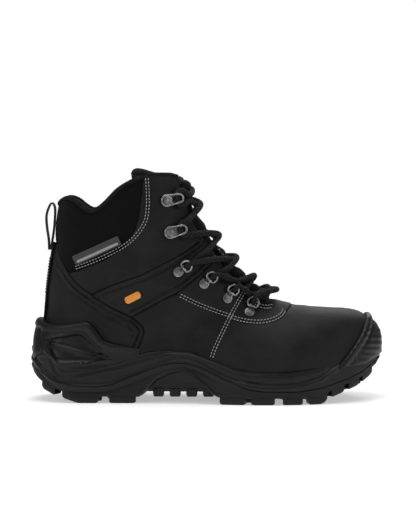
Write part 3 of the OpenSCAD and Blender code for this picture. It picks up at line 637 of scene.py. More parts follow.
def metal_material(name, tone, rough=0.34, warm=0.0):
    s = Shader(name)
    at = s.place()
    smear = s.noise(at, 0.35, 5.0, 0.6)
    scratch = s.noise(s.place(400, 3000, 1200), 1.2, 4.0, 0.7)
    worn = smear.ramp(0.42, 0.7)
    s.set("Base Color", s.blend(worn, grey(tone * 0.7, warm), grey(tone * 1.35, warm)))
    s.set("Metallic", 1.0 - worn * 0.06)
    s.set("Roughness", rough + scratch * 0.2)
    s.bump(scratch, 0.03)
    return s.material


def plain_material(name, low, high, rough, scale=0.4, height=0.05, **constants):
    """Two close colours mottled together."""
    s = Shader(name, **constants)
    mottle = s.noise(s.place(), scale, 4.0, 0.6)
    s.set("Base Color", s.blend(mottle, low, high))
    s.set("Roughness", rough + mottle * 0.1)
    s.bump(mottle, height)
    return s.material


def mesh_lining_material(name, tone):
    """Spacer mesh: small open holes in a staggered row."""
    s = Shader(name, Specular_IOR_Level=0.2, Sheen_Weight=0.25)
    at = s.place()
    holes = s.cells(at, 0.62)
    s.set("Base Color", s.blend(holes.ramp(0.15, 0.5), grey(tone * 0.35), grey(tone * 1.4)))
    s.set("Roughness", 0.8 + holes * 0.1)
    s.bump(holes, 0.4)
    return s.material


def material(key):
    """The material of a kind, made once."""
    if key not in bpy.data.materials:
        MAKERS[key](key)
    return bpy.data.materials[key]


MAKERS = {
    "Leather": lambda n: leather_material(n, 0.0062),
    "Strap leather": lambda n: leather_material(n, 0.0062),
    "Collar textile": lambda n: woven_material(n, 0.0022, 1.1, 0.14),
    "Tongue textile": lambda n: woven_material(n, 0.012, 0.9, 0.1),
    "Binding": lambda n: woven_material(n, 0.007, 0.8, 0.08),
    "Outsole rubber": lambda n: rubber_material(n, 0.0045, 0.36),
    "Midsole foam": lambda n: rubber_material(n, 0.005, 0.38),
    "Cage plastic": lambda n: rubber_material(n, 0.0045, 0.3),
    "Toe rubber": lambda n: rubber_material(n, 0.0045, 0.32),
    "Webbing": lambda n: webbing_material(n, 0.012),
    "Light thread": lambda n: thread_material(n, 0.34),
    "Dark thread": lambda n: thread_material(n, 0.02),
    "Lace cord": lambda n: lace_material(n, 0.0045),
    "Lace tip": lambda n: plain_material(n, grey(0.008), grey(0.014), 0.2, Coat_Weight=0.4),
    "Dark metal": lambda n: metal_material(n, 0.26, 0.26),
    "Rivet metal": lambda n: metal_material(n, 0.2, 0.38),
    "Steel": lambda n: metal_material(n, 0.5, 0.3),
    "Lining mesh": lambda n: mesh_lining_material(n, 0.035),
    "Footbed cloth": lambda n: woven_material(n, 0.03, 1.4, 0.1),
    "Board": lambda n: plain_material(n, (0.36, 0.27, 0.16, 1), (0.5, 0.4, 0.27, 1), 0.8),
    "Stiffener": lambda n: plain_material(n, (0.05, 0.045, 0.035, 1), (0.09, 0.08, 0.065, 1), 0.8),
    "Label dark": lambda n: woven_material(n, 0.05, 0.6, 0.05),
    "Label light": lambda n: woven_material(n, 0.24, 0.6, 0.05),
    "Badge": lambda n: plain_material(n, (0.62, 0.2, 0.012, 1), (0.75, 0.27, 0.02, 1), 0.42, Coat_Weight=0.3),
    "Floor": lambda n: plain_material(n, grey(0.86), grey(0.88), 0.6, 0.004, 0.0,
                                      Emission_Color=(1.0, 1.0, 1.0, 1.0), Emission_Strength=0.42),
}


# ---- Upper ---------------------------------------------------------------------------------------

HALF_OUTLINE = np.array([
    [-151, 0], [-149.6, 12], [-144, 23.5], [-133, 32.5], [-115, 39], [-90, 39.8], [-60, 39.4], [-25, 40.6],
    [5, 45.2], [30, 50.4], [55, 53.6], [75, 53.9], [95, 50.8], [112, 44.3], [126, 36], [137.5, 25.5],
    [146, 14.5], [150, 6.5], [151, 0]])
OUTSOLE_LINE = np.array([
    [-151, 36], [-144, 28], [-136, 23], [-128, 18.5], [-110, 14.5], [-92, 13.8], [-80, 16], [-71, 20],
    [-55, 26.5], [-39, 32], [-28, 34.3], [-18, 34.3], [-8, 31.5], [3, 27], [12, 22.5], [25, 16.5], [35, 13],
    [46, 11.5], [75, 11], [97, 14], [118, 20], [131, 25], [144, 33], [151, 40]])
MIDSOLE_LINE = np.array([
    [-151, 47], [-137, 47], [-130, 40], [-122, 33], [-108, 30.5], [-92, 32], [-71, 36.5], [-50, 42.5],
    [-34, 44], [-15, 43], [2, 37], [14, 32.5], [22, 29], [35, 27], [66, 26.5], [87, 29], [105, 32],
    [118, 34], [131, 36], [140, 40], [151, 47]])
UNDERSIDE = np.array([
    [-151, 24], [-146, 16], [-140, 11], [-130, 6.5], [-118, 3], [-110, 0.6], [-108, 0], [94, 0], [97, 0.6],
    [104, 5], [118, 10], [129, 14], [138, 19.5], [144, 24], [149, 31], [151, 37]])
CAVITY_FLOOR = np.array([
    [-134, 31], [-108, 25], [-70, 23], [-30, 21], [8, 18.5], [40, 17], [68, 17], [92, 18.5], [112, 21.5],
    [127, 25.5], [140, 32]])


def height(table, x):
    return np.interp(x, table[:, 0], table[:, 1])


def base_line(x0, x1):
    """Lower edge of the upper, tucked behind the midsole."""
    x = np.linspace(x0, x1, max(2, int(abs(x1 - x0) / 3)))
    return np.stack([x, np.maximum(height(MIDSOLE_LINE, x) - 6, height(CAVITY_FLOOR, x) + 1.5)], 1)


def throat(u0, u1):
    """Edge of the lace gap between two ribs, as [rib, angle]."""
    u = np.linspace(u0, u1, max(2, int(abs(u1 - u0) * 12)))
    return np.stack([u, throat_angle(u)], 1)


def clipped(where):
    """Keeps an outline behind the edge of the lace gap."""
    where = where.copy()
    where[:, 1] = np.maximum(where[:, 1], throat_angle(where[:, 0]))
    return where


def rib_at(x, z):
    return locate([[x, z]])[0]


def mirrored(where, about=0.0):
    """Closes a half outline over the centre line at the given angle."""
    other = where.copy()
    other[:, 1] = 2 * about - other[:, 1]
    return np.vstack([where, other[::-1]])


def ripple(points, length, seed):
    """Soft uneven waves between -1 and 1."""
    spread = np.random.default_rng(seed)
    total = 0
    for _ in range(5):
        way = spread.normal(size=3)
        way *= 2 * np.pi / (length * spread.uniform(0.7, 1.5) * np.linalg.norm(way))
        total = total + np.sin(points @ way + spread.uniform(0, 6.3))
    return total / 3.2


def shifted(line, by):
    """A line moved sideways, to its left when by is positive."""
    way = unit(np.gradient(line, axis=0))
    return line + by * np.stack([-way[:, 1], way[:, 0]], 1)


LEATHER_UNDER, CREASE_WAVE = -2.0, 0.22     # underside of the leather, height of its soft waves


def leather_piece(name, node, outline, lift=0.0, key="Leather", slot="leather", lines=(), shape=None,
                  pitch=2.6, rings=(0.4, 1.1)):
    """A leather panel with rolled edges. lines are [side-view line, height, width] ridges or furrows."""
    panel = Panel(outline, pitch, rings=rings)
    flat = panel.base[:, [0, 2]]
    top = lift + rolled(panel.depth, 0.8, 1.2) + CREASE_WAVE * ripple(panel.base, 34, len(name))
    for line, rise, wide in lines:
        top = top + bead(line_distance(flat, line), rise, wide)
    if shape is not None:
        top = top + shape(panel)
    panel.piece(top, LEATHER_UNDER, name, "boot", slot, [node], key)


EDGE_A = curve([
    [-50.3, 188.5], [-49.6, 176], [-49.6, 164], [-51, 154], [-55, 146], [-62, 137.5], [-71, 130.5],
    [-85, 123], [-99, 117], [-112, 112.3]])
EDGE_C = curve([[32, 94], [26, 84], [20, 73.6], [14, 62], [9, 52], [4.8, 42.5], [3.2, 37]])
EDGE_B = curve([
    [-23, 90.5], [-9.6, 83.8], [5, 77.6], [16.4, 73.5], [26, 70], [37, 68], [47, 68], [56, 70],
    [62.5, 73.5], [65.5, 78]])
EDGE_U = curve([[40, 83], [44, 80.5], [50, 79.3], [56, 80]])
DOUBLE = 1.15


def both_rows(line, apart=DOUBLE):
    return [shifted(line, apart), shifted(line, -apart)]


def furrows(line, rise=-0.3, wide=1.0):
    return [[row, rise, wide] for row in both_rows(line)]


def cut(line, test):
    """The points of a line that pass a test."""
    return line[np.array([bool(test(p)) for p in line])]


def make_quarters():
    strap_end = rib_at(-8, 134)[0]
    facing_end = rib_at(6, 119)[0]
    for side in SIDES:
        name = SIDE_NAME[side]
        upper = np.vstack([locate(resample(UPPER_TOP, 2)), throat(rib_at(-16, 184)[0], strap_end),
                           clipped(locate(STRAP_TOP[::-1])),
                           locate(cut(HEEL_LINE, lambda p: p[0] < -97 and p[1] < 109)[::-1]),
                           locate(cut(COLLAR_LOW, lambda p: p[1] > 109.5 and p[0] > -117)[::-1])])
        leather_piece("Upper quarter " + name, "quarter_upper_" + name, upper * [1, side],
                      lines=furrows(EDGE_A),
                      rings=WELT_RINGS[:8])
        lower = np.vstack([locate(cut(STRAP_LOW, lambda p: p[0] < -26.5)),
                           locate(cut(FACING_LOW, lambda p: p[0] < 17.5)),
                           locate(VAMP_SEAM), locate(base_line(-3, -60)),
                           locate(cut(HEEL_LINE, lambda p: p[1] < 72.5)[::-1])])
        leather_piece("Lower quarter " + name, "quarter_lower_" + name, lower * [1, side],
                      lines=furrows(EDGE_C))
        strap = np.vstack([clipped(locate(STRAP_TOP)), throat(strap_end, facing_end),
                           clipped(locate(STRAP_LOW[::-1])),
                           locate(cut(HEEL_LINE, lambda p: -96.5 < p[0] < -63)[::-1])])

        def welt(panel):
            flat = panel.base[:, [0, 2]]
            edge = np.minimum(line_distance(flat, STRAP_TOP), line_distance(flat, STRAP_LOW))
            return bead(edge - 2.0, 0.9, 1.1) - bead(edge - 4.4, 0.75, 0.9) + bead(edge - 6.4, 0.25, 1.1)
        leather_piece("Ankle strap " + name, "ankle_strap_" + name, strap * [1, side], lift=0.8,
                      key="Strap leather", slot="strap_leather", shape=welt, rings=WELT_RINGS)


def make_front():
    facing_end = rib_at(6, 119)[0]
    half = np.vstack([[[9.7, 0.0]], throat(9.65, facing_end),
                      clipped(locate(cut(STRAP_LOW, lambda p: p[0] > -26.5)[::-1])),
                      locate(cut(FACING_LOW, lambda p: p[0] < 67)), [[rib_at(67.5, 77)[0], 0.0]]])
    leather_piece("Lace facing", "lace_facing", mirrored(half),
                  lines=furrows(EDGE_B) + furrows(EDGE_C) + furrows(EDGE_U), pitch=1.8)
    tip = 18.6
    low = locate(base_line(0, 142))
    low[:, 0] = np.minimum(low[:, 0], tip)
    half = np.vstack([[[rib_at(67.9, 77)[0], 0.0]], locate(cut(FACING_LOW, lambda p: 17.8 < p[0] < 67)[::-1]),
                      locate(VAMP_SEAM), low, [[tip, 0.0]]])

    def flex(panel):
        x, z = panel.base[:, 0], panel.base[:, 2]
        bend = bead(x - 72, 1, 16) * ease((z - 34) / 18)
        cap = 0.45 * ease((x - 86) / 7)
        return bend * 0.5 * np.sin((x + 0.35 * z + 3 * ripple(panel.base, 40, 5)) / 3.4) + cap - 0.2
    leather_piece("Vamp", "vamp", mirrored(half), shape=flex, pitch=2.8)


def make_heel():
    back = rib_at(-127.7, 134)[0]
    low = locate(base_line(-60, -131))
    half = np.vstack([[[back, 180.0]], locate(HEEL_LINE[2:]), low, [[low[-1, 0], 180.0]]])

    def piping(panel):
        edge = line_distance(panel.base[:, [0, 2]], HEEL_LINE)
        near = (panel.base[:, 0] > -127.0) * 1.0
        cords = bead(edge - 1.7, 1, 1.25) + bead(edge - 5.6, 0.9, 1.25)
        valley = bead(edge - 3.7, 0.7, 0.7) + bead(edge - 7.8, 0.7, 0.9)
        backseam = bead(panel.base[:, 1] - centre_y(panel.base[:, 0]), 1, 1.1) * (panel.base[:, 0] < -120)
        return near * (1.15 * cords - valley) - 0.45 * backseam
    leather_piece("Heel panel", "heel_panel", mirrored(half, 180.0), shape=piping, rings=WELT_RINGS)


# Shape of one stitch: place along it, height above the surface, share of the thread's thickness
LONG_STITCH = np.array([
    [-0.5, -0.35, 0.5], [-0.42, 0.12, 0.85], [-0.2, 0.34, 1], [0.0, 0.4, 1], [0.2, 0.34, 1],
    [0.42, 0.12, 0.85], [0.5, -0.35, 0.5]])
SHORT_STITCH = np.array([
    [-0.5, -0.25, 0.6], [-0.3, 0.12, 1], [0, 0.22, 1], [0.3, 0.12, 1], [0.5, -0.25, 0.6]])


def sew(soup, path, up, shape, step, long, thick, last):
    """A row of short raised stitches along points with given outward directions."""
    dist = arc_lengths(path)
    for middle in np.arange(step / 2, dist[-1] - last, step):
        at = middle + shape[:, 0] * long
        n = sample(up, dist, at)
        soup.add(*tube_mesh(sample(path, dist, at) + shape[:, 1:2] * n, thick * shape[:, 2], 6, normals=n))


def stitches(soup, line, side, rise=0.0, thick=0.42):
    """A row of stitches along a side-view line."""
    where = locate(line)
    u, a = where[:, 0], where[:, 1] * side
    sew(soup, skin(u, a, rise), skin_normal(u, a), LONG_STITCH, 2.75, 2.0, thick, 2.75 / 2)


def row_on(soup, path, up, thick=0.3):
    """A row of shorter stitches along free points."""
    sew(soup, path, up, SHORT_STITCH, 2.4, 1.7, thick, 0.0)


def make_stitching():
    for side in SIDES:
        soup = Soup()
        for line in (EDGE_A, EDGE_B, EDGE_C, EDGE_U):
            for row in both_rows(line):
                stitches(soup, row, side)
        soup.piece("Light stitching " + SIDE_NAME[side], "boot", "leather", [], "Light thread")
        dark = Soup()
        for line in (STRAP_TOP, STRAP_LOW):
            inner = shifted(line, -4.4 if line is STRAP_TOP else 4.4)
            stitches(dark, cut(inner, lambda p: p[0] > -94), side, rise=0.5, thick=0.3)
        dark.piece("Dark stitching " + SIDE_NAME[side], "boot", "strap_leather", [], "Dark thread")


def make_collar(puff):
    half = np.vstack([[[rib_at(-128, 165)[0], 180.0]], locate(COLLAR_TOP[::-1][2:]), locate(COLLAR_LOW[:-2]),
                      [[rib_at(-127.7, 134)[0], 180.0]]])
    panel = Panel(mirrored(half, 180.0), 2.6)
    crown = 1 - np.exp(-panel.depth / 5.5)
    top = -1.2 + puff * crown + 0.3 * ripple(panel.base, 26, 3) * crown
    piece = panel.piece(top, -3.0, "Padded collar", "boot", "collar_textile", ["padded_collar"],
                        "Collar textile")


def make_binding():
    """Cord along the edge of the collar, and along the top of each upper quarter."""
    line = locate(resample(COLLAR_TOP[:-4], 1.6))
    half = skin(line[:, 0], line[:, 1], -1.2)
    middle = skin(rib_at(-127.4, 165)[0], 180.0, -1.2)[None]
    other = skin(line[:, 0], 360 - line[:, 1], -1.2)[::-1]
    path = softened(resample(np.vstack([half, middle, other]), 1.6), 3)
    soup = Soup()
    soup.add(*tube_mesh(path, rounded_ends(1.75, len(path), 1.6, 3), 14))
    soup.piece("Collar binding", "boot", "binding", ["collar_binding"], "Binding")
    for side in SIDES:
        edge = clipped(locate(resample(UPPER_TOP, 1.5)))
        path = skin(edge[:, 0], side * edge[:, 1], -1.1)
        soup = Soup()
        soup.add(*tube_mesh(path, rounded_ends(1.45, len(path), 1.5, 3), 12))
        soup.piece("Top edge " + SIDE_NAME[side], "boot", "binding", [], "Binding")


LINING_OUT, LINING_IN = -4.4, -5.8


def make_lining():
    """Mesh lining of the shaft, from the top edge down to the vamp lining."""
    top = np.vstack([locate(resample(UPPER_TOP[::-1], 2)), locate(COLLAR_TOP)])
    order = np.argsort(top[:, 1])
    shares = np.linspace(0, 1, 61)
    first = throat_angle(2.0)
    rows = []
    for depth in np.linspace(0, 1, 41):
        row = []
        for share in np.r_[shares, shares[::-1][1:]]:
            a = mix(first, 180.0, share)
            u0 = np.interp(a, top[order, 1], top[order, 0]) + 0.05
            u = mix(u0, 12.4, depth ** 1.1)
            row.append([u, mix(throat_angle(min(u, 9.6)), 180.0, share)])
        rows.append(row)
    where = np.array(rows)
    where[:, len(shares):, 1] = 360 - where[:, len(shares):, 1]
    points, faces = closed_grid(*(skin(where[..., 0], where[..., 1], off) for off in (LINING_OUT, LINING_IN)))
    uv = np.tile((where * FLAT).reshape(-1, 2), (2, 1))
    finish_piece("Shaft lining", points, faces, "boot", ["lining_shaft"], "Lining mesh", uv=uv)


def tongue_edge(u):
    """Angle of the tongue's edge on a rib."""
    return mix(78.0, 46.0, ease(u / 8))


def tongue_under(u, a):
    """0 in the middle of the lace gap, 1 where the tongue has dipped beneath the quarters."""
    gap = np.maximum(1, throat_angle(u))
    return ease((np.abs(a) - 0.35 * gap) / (0.45 * gap))


def make_tongue(puff):
    """Quilted tongue with a rolled top edge."""
    top = curve([[-21, 186], [-34, 188.3], [-44, 190], [-52, 191.8], [-59, 192.4], [-65, 191.4],
                 [-69.2, 188.5], [-71.5, 183]])
    head = locate(top)
    head = head[np.argsort(head[:, 1])]
    head = head[head[:, 1] < tongue_edge(head[:, 0])]
    u = np.linspace(head[-1, 0] + 0.15, 9.9, 70)
    half = np.vstack([[[rib_at(-20, 187)[0], 0.0]], head, np.stack([u, tongue_edge(u)], 1), [[9.9, 0.0]]])
    panel = Panel(mirrored(half), 2.2, rings=WELT_RINGS[:8])
    u, a = panel.where[:, 0], np.abs(panel.where[:, 1])
    under = np.maximum(tongue_under(u, a), ease((u - 8.4) / 1.4))
    crown = round_over(panel.depth / 6.0)
    rows = np.min(np.abs(u[:, None] - np.array([9.35] + [c[0] for c in CROSSINGS])[None]), 1)
    quilt = ease(rows / 0.75) * (1 - under)
    roll = ease((panel.base[:, 2] - 172) / 14) * (1 - np.exp(-(panel.depth / 5.0) ** 1.5))
    top = mix(-1.2, -7.7, under) - 1.6 + 2.6 * roll
    top = top + (1.6 + puff * quilt + 0.25 * ripple(panel.base, 22, 9)) * crown
    low = mix(-1.0, -7.6, under) - 0.3 - mix(7.0, 5.5, ease(a / tongue_edge(u)))
    low = low + (1 - crown) * 3.4 - 2.6 * roll
    piece = panel.piece(top, np.minimum(low, top - 1.2), "Tongue", "tongue", "tongue_textile", ["tongue"],
                        "Tongue textile")
    head = resample(np.vstack([head * [1, -1], head])[np.argsort(np.r_[-head[:, 1], head[:, 1]])], 0.12)
    off = mix(-1.2, -7.7, tongue_under(head[:, 0], head[:, 1])) - 4.0
    path = softened(resample(skin(head[:, 0], head[:, 1], off), 1.5), 6)
    points, faces, uv = tube_mesh(path, rounded_ends(4.3, len(path), 1.5, 5), 22)
    roll = finish_piece("Tongue roll", points, faces, "tongue", [],
                        "Tongue textile", uv=uv * 20)


def make_footbed():
    """Moulded insole with a raised heel cup, from stacked rings over the last's floor."""
    low = 3.5
    shares = 0.5 - 0.5 * np.cos(np.linspace(0, np.pi, 61))

    def ring(inset, rise, cup=0.0):
        u = mix(7.35, 15.9, shares)
        r = along(RIBS, u)
        e = np.minimum(np.arange(61), np.arange(61)[::-1]) / 7.0
        half = np.maximum(3, r[:, 4] * r[:, 7] - inset) * round_over(e, 0.06)
        lift = cup * ease((-60 - r[:, 2]) / 50)
        return both_sides(np.stack([r[:, 2], half], 1), r[:, 3] + rise + lift)
    rings = [ring(8.2, low), ring(7.2, low + 0.4), ring(6.8, low + 3.6, 1.5), ring(7.4, low + 4.8, 2.4),
             ring(9.0, low + 5.2, 2.4), ring(11.5, low + 4.9, 1.6), ring(15.5, low + 4.6, 0.8),
             ring(21, low + 4.5, 0.2)]
    points, faces = loft(rings)
    finish_piece("Footbed", points, faces, "footbed", ["footbed"], "Footbed cloth",
                 uv=points[:, :2])


def ribbon_mesh(path, wide, thick, across=(0, 1, 0)):
    """Flat band with rounded edges that runs along a path."""
    side = np.broadcast_to(np.asarray(across, float), path.shape)
    up = unit(np.cross(unit(np.gradient(path, axis=0)), side))
    turn = np.linspace(0, 2 * np.pi, 28, endpoint=False)
    s = np.sign(np.cos(turn)) * np.abs(np.cos(turn)) ** 0.35 * wide / 2
    h = np.sin(turn) * thick / 2
    rings = path[:, None] + s[None, :, None] * side[:, None] + h[None, :, None] * up[:, None]
    uv = np.stack(np.broadcast_arrays(s[None, :], arc_lengths(path)[:, None]), -1)
    return rings.reshape(-1, 3), capped_faces(len(path), len(turn)), uv.reshape(-1, 2)


LOOP_PATH = np.array([
    [-134.6, 127], [-135, 136], [-136.4, 146], [-136.8, 156], [-134, 164.5], [-131.6, 166.5], [-129.5, 162],
    [-129.9, 150], [-131.2, 139], [-133.2, 127]])
TAPE_PATH = skin(np.linspace(2.35, 5.3, 26), 180.0, 0.7)[:, [0, 2]]


def make_webbing():
    """The pull loop, and the tape down the heel that it is sewn into."""
    for name, rows, node, body in (
            ("Pull loop", curve(LOOP_PATH, 8), "pull_loop", "pull_loop"),
            ("Backstay tape", TAPE_PATH, "backstay_tape", "boot")):
        flat = resample(rows, 1.5)
        path = np.stack([flat[:, 0], centre_y(flat[:, 0]), flat[:, 1]], 1)
        soup = Soup()
        soup.add(*ribbon_mesh(path, 15, 1.5))
        soup.piece(name, body, "webbing", [node], "Webbing")
    threads = Soup()
    z = np.linspace(90, 121, 40)
    x = np.interp(z, TAPE_PATH[::-1, 1], TAPE_PATH[::-1, 0])
    for y in (-6, 6):
        path = np.stack([x - 0.75, np.full(40, y + centre_y(-136)), z], 1)
        row_on(threads, path, np.tile([-1.0, 0, 0.1], (40, 1)))
    threads.piece("Tape stitching", "boot", "webbing", [], "Dark thread")


def side_patch(x, z, long, high, tilt, lift, low, name, nodes, key, corner=1.2):
    """A small flat piece with rounded corners, laid on the outer side of the upper."""
    angle = math.radians(tilt)
    way, up = np.array([math.cos(angle), math.sin(angle)]), np.array([-math.sin(angle), math.cos(angle)])
    columns, rows = max(8, int(long / 0.8)), max(6, int(high / 0.8))
    outer = np.zeros((rows, columns, 3))
    inner = np.zeros((rows, columns, 3))
    for i, t in enumerate(np.linspace(-1, 1, rows)):
        for j, s in enumerate(np.sin(np.linspace(-np.pi / 2, np.pi / 2, columns))):
            ends = max(abs(s) * long - (long - 2 * corner), 0) / (2 * corner)
            narrow = 1 - 2 * corner / high * (1 - math.sqrt(max(0.0, 1 - ends ** 2)))
            rim = max(ends, abs(t) * high - (high - 2 * corner), 0) / (2 * corner)
            q = locate([np.array([x, z]) + way * s * long / 2 + up * t * narrow * high / 2])[0]
            outer[i, j] = skin(q[0], q[1], lift - 0.5 * rim ** 2)
            inner[i, j] = skin(q[0], q[1], low)
    points, faces = closed_grid(outer, inner)
    uv = np.stack(np.meshgrid(np.linspace(0, long, columns), np.linspace(0, high, rows)), -1)
    finish_piece(name, points, faces, "boot", nodes, key, uv=np.tile(uv.reshape(-1, 2), (2, 1)))


def make_labels(puff):
    """A plain two-tone woven label without lettering, and a plain raised badge."""
    up = puff - 1.2
    angle = math.radians(25)
    for name, shift, high, key, nodes in (("Label ground", 0.0, 8.0, "Label dark", ["side_label"]),
                                          ("Label band", -1.9, 2.6, "Label light", [])):
        side_patch(-92 - shift * math.sin(angle), 127.5 + shift * math.cos(angle), 42 if high > 3 else 38,
                   high, 25,
                   up + (1.1 if high > 3 else 1.45), up - 0.6, name, nodes, key)
    side_patch(-62, 88.5, 14, 6.0, 27, 2.1, 1.0, "Side badge", ["side_badge"], "Badge", corner=2.4)


# ---- Sole ----------------------------------------------------------------------------------------

LAST_PLACE = len(HALF_OUTLINE) - 1
WALL_MARGIN = 0.4               # keeps the relief of the side wall within the outline


def outline_at(s, inset):
    """Places on the half outline, moved inwards."""
    q = along(HALF_OUTLINE, np.minimum(LAST_PLACE, s + 0.05)) - along(HALF_OUTLINE, np.maximum(0, s - 0.05))
    n = unit(np.stack([-q[:, 1], q[:, 0]], 1))
    return along(HALF_OUTLINE, s) - (np.asarray(inset, float)[..., None] + WALL_MARGIN) * n


OUTLINE_S = np.linspace(0.04, LAST_PLACE - 0.04, 170)
X_BARE = along(HALF_OUTLINE, OUTLINE_S)[:, 0]

SPLIT = np.array([
    [-149.4, 36], [-145, 31.6], [-134.6, 22], [-124, 15.6], [-108, 14], [-90, 13.7], [-79.4, 15.6],
    [-64.5, 21], [-49.6, 27.4], [-39, 31.6], [-28.4, 34.8], [-17.8, 34.8], [-7, 31.6], [4, 26], [15, 20.7],
    [30, 16.6], [45.6, 14], [66.4, 14], [82, 16], [97.5, 21.8], [108, 29], [114, 34]])
HEEL_GROOVE = np.array([
    [-135.7, 60], [-134.6, 48.6], [-131.4, 36], [-127, 26], [-122, 22.5], [-113.4, 23], [-92, 27.4],
    [-71, 32], [-49.6, 38], [-36, 42.4]])
TOE_LINE = np.array([
    [96, 21], [108, 29], [114, 34], [118, 39.4], [125.4, 49.8], [129.5, 57], [133.7, 65], [136.7, 72.8]])
ARCH = np.array([
    [-57, 5], [-48.5, 12.5], [-43.5, 18.7], [-33.7, 24], [-22, 27.4], [-12.7, 24], [-2, 14.6], [5.6, 7],
    [13, 5]])


def sole_relief(x, z):
    """How far the side wall of the sole stands proud at [x, z]."""
    p = np.stack([x, z], 1)
    split = curve(SPLIT, 4)
    above = z - np.interp(x, split[:, 0], split[:, 1])
    d = line_distance(p, split)
    out = bead(d, 1.1, 1.5) - bead(above - 3.6, 0.9, 1.3) * (above > 0)
    out = out - bead(above + 4.2, 0.5, 1.1) * (x < 4) + bead(line_distance(p, curve(TOE_LINE, 4)), 1.0, 1.7)
    heel = line_distance(p, curve(HEEL_GROOVE, 4))
    out = out - bead(heel, 0.9, 1.0) + bead(heel - 2.6, 0.45, 1.2)
    out = out + bead(z - height(ARCH, x) - 1.6, 0.8, 1.3) * ease((x + 58) / 6) * ease((12 - x) / 6)
    band = ease((x - 16) / 10) * ease((112 - x) / 10)
    top = height(MIDSOLE_LINE, x)
    ribs = np.sin(x * 2.1 + 0.7 * np.sin(x * 0.9)) * 0.22
    out = out + band * (bead(z - top + 4.6, ribs, 2.6) - bead(z - top + 8.4, 0.45, 0.8))
    wave = np.sin((z + 0.25 * x) * 1.25) * 0.14
    return out + wave * ease((x - 126) / 8) + 0.1 * np.sin(z * 1.3 - x * 0.05) * ease((-128 - x) / 10)


def both_sides(half_xy, z):
    """A closed ring from half a ring of [x, distance from the centre line]."""
    x, w = half_xy[:, 0], half_xy[:, 1]
    return np.vstack([np.stack([x, centre_y(x) - w, z], 1), np.stack([x, centre_y(x) + w, z], 1)[::-1]])


def wall_ring(inset, z):
    """Ring round the sole at height z per place, pushed out by the relief."""
    z = np.broadcast_to(z, X_BARE.shape)
    relief = sole_relief(X_BARE, z)
    return both_sides(outline_at(OUTLINE_S, inset + 0.6 - relief), z)


def plain_ring(inset, z):
    """Ring round the sole without relief."""
    inset = np.broadcast_to(inset, X_BARE.shape)
    return both_sides(outline_at(OUTLINE_S, inset), np.broadcast_to(z, X_BARE.shape))


def loft(rings):
    """Closed mesh from closed rings; the first and the last are filled in strips across."""
    return np.vstack(rings), strip_faces(len(rings), len(rings[0]))


LUG = 5.0                       # depth of the tread
LUG_CHAMFER = 0.85              # how much less deep a rim block is at its two ends
CORNER = 1.44                   # how far the corners of the inner blocks are cut back


def wall_foot(x):
    """Lower edge of the side wall: over the lugs, and over the arch at the waist."""
    base = height(UNDERSIDE, x) + LUG + 0.4
    at_waist = ease((x + 57) / 3) * ease((13 - x) / 3)
    return mix(base, np.maximum(height(ARCH, x), base), at_waist)


def lug(s0, s1, inner, side):
    """A tread block on the rim of the sole between two places on its outline."""
    s = np.linspace(s0, s1, max(6, int((s1 - s0) * 14)))
    x, width = along(HALF_OUTLINE, s).T
    low = height(UNDERSIDE, x)
    top = low + LUG + 2.4
    inner = np.minimum(inner, np.maximum(width - 2.5, 3))
    foot = low + np.r_[LUG_CHAMFER, np.zeros(len(s) - 2), LUG_CHAMFER]
    rings = []
    for inset, z in ((1.25, top), (0.9, low + 3.4), (1.25, foot + 1.1), (2.2, foot), (inner - 1.4, foot),
                     (inner - 0.4, foot + 1.0), (inner + 0.5, top)):
        q = outline_at(s, np.broadcast_to(inset, s.shape))
        rings.append(np.stack([q[:, 0], centre_y(q[:, 0]) - side * q[:, 1], z], 1))
    return np.stack(rings, 1).reshape(-1, 3), capped_faces(len(s), len(rings))


def block(corners, side, low, high):
    """A tapered tread block with rounded corners; corners are [x, distance from the centre line]."""
    corners = np.array([[x, centre_y(x) - side * y] for x, y in corners])
    plan = []
    for k, c in enumerate(corners):
        a, b = unit(corners[k - 1] - c), unit(corners[(k + 1) % len(corners)] - c)
        plan += [c + CORNER * ((1 - t) ** 2 * a + t ** 2 * b) for t in np.linspace(0, 1, 4)]
    plan = np.array(plan)
    middle = plan.mean(0)
    rings = [np.column_stack([middle + (plan - middle) * share, np.full(len(plan), z)])
             for share, z in ((1.0, high), (0.984, low + 1.1), (0.904, low))]
    return np.vstack(rings), capped_faces(len(rings), len(plan))


# From x to x of each tread block on the rim
RIM_BLOCKS = ((-140, -128.5), (-122, -91.5), (-82, -60), (10, 31), (36, 55.5), (62.5, 79.5), (84.5, 100.5),
              (104.5, 115.5), (119.5, 129), (132, 141))


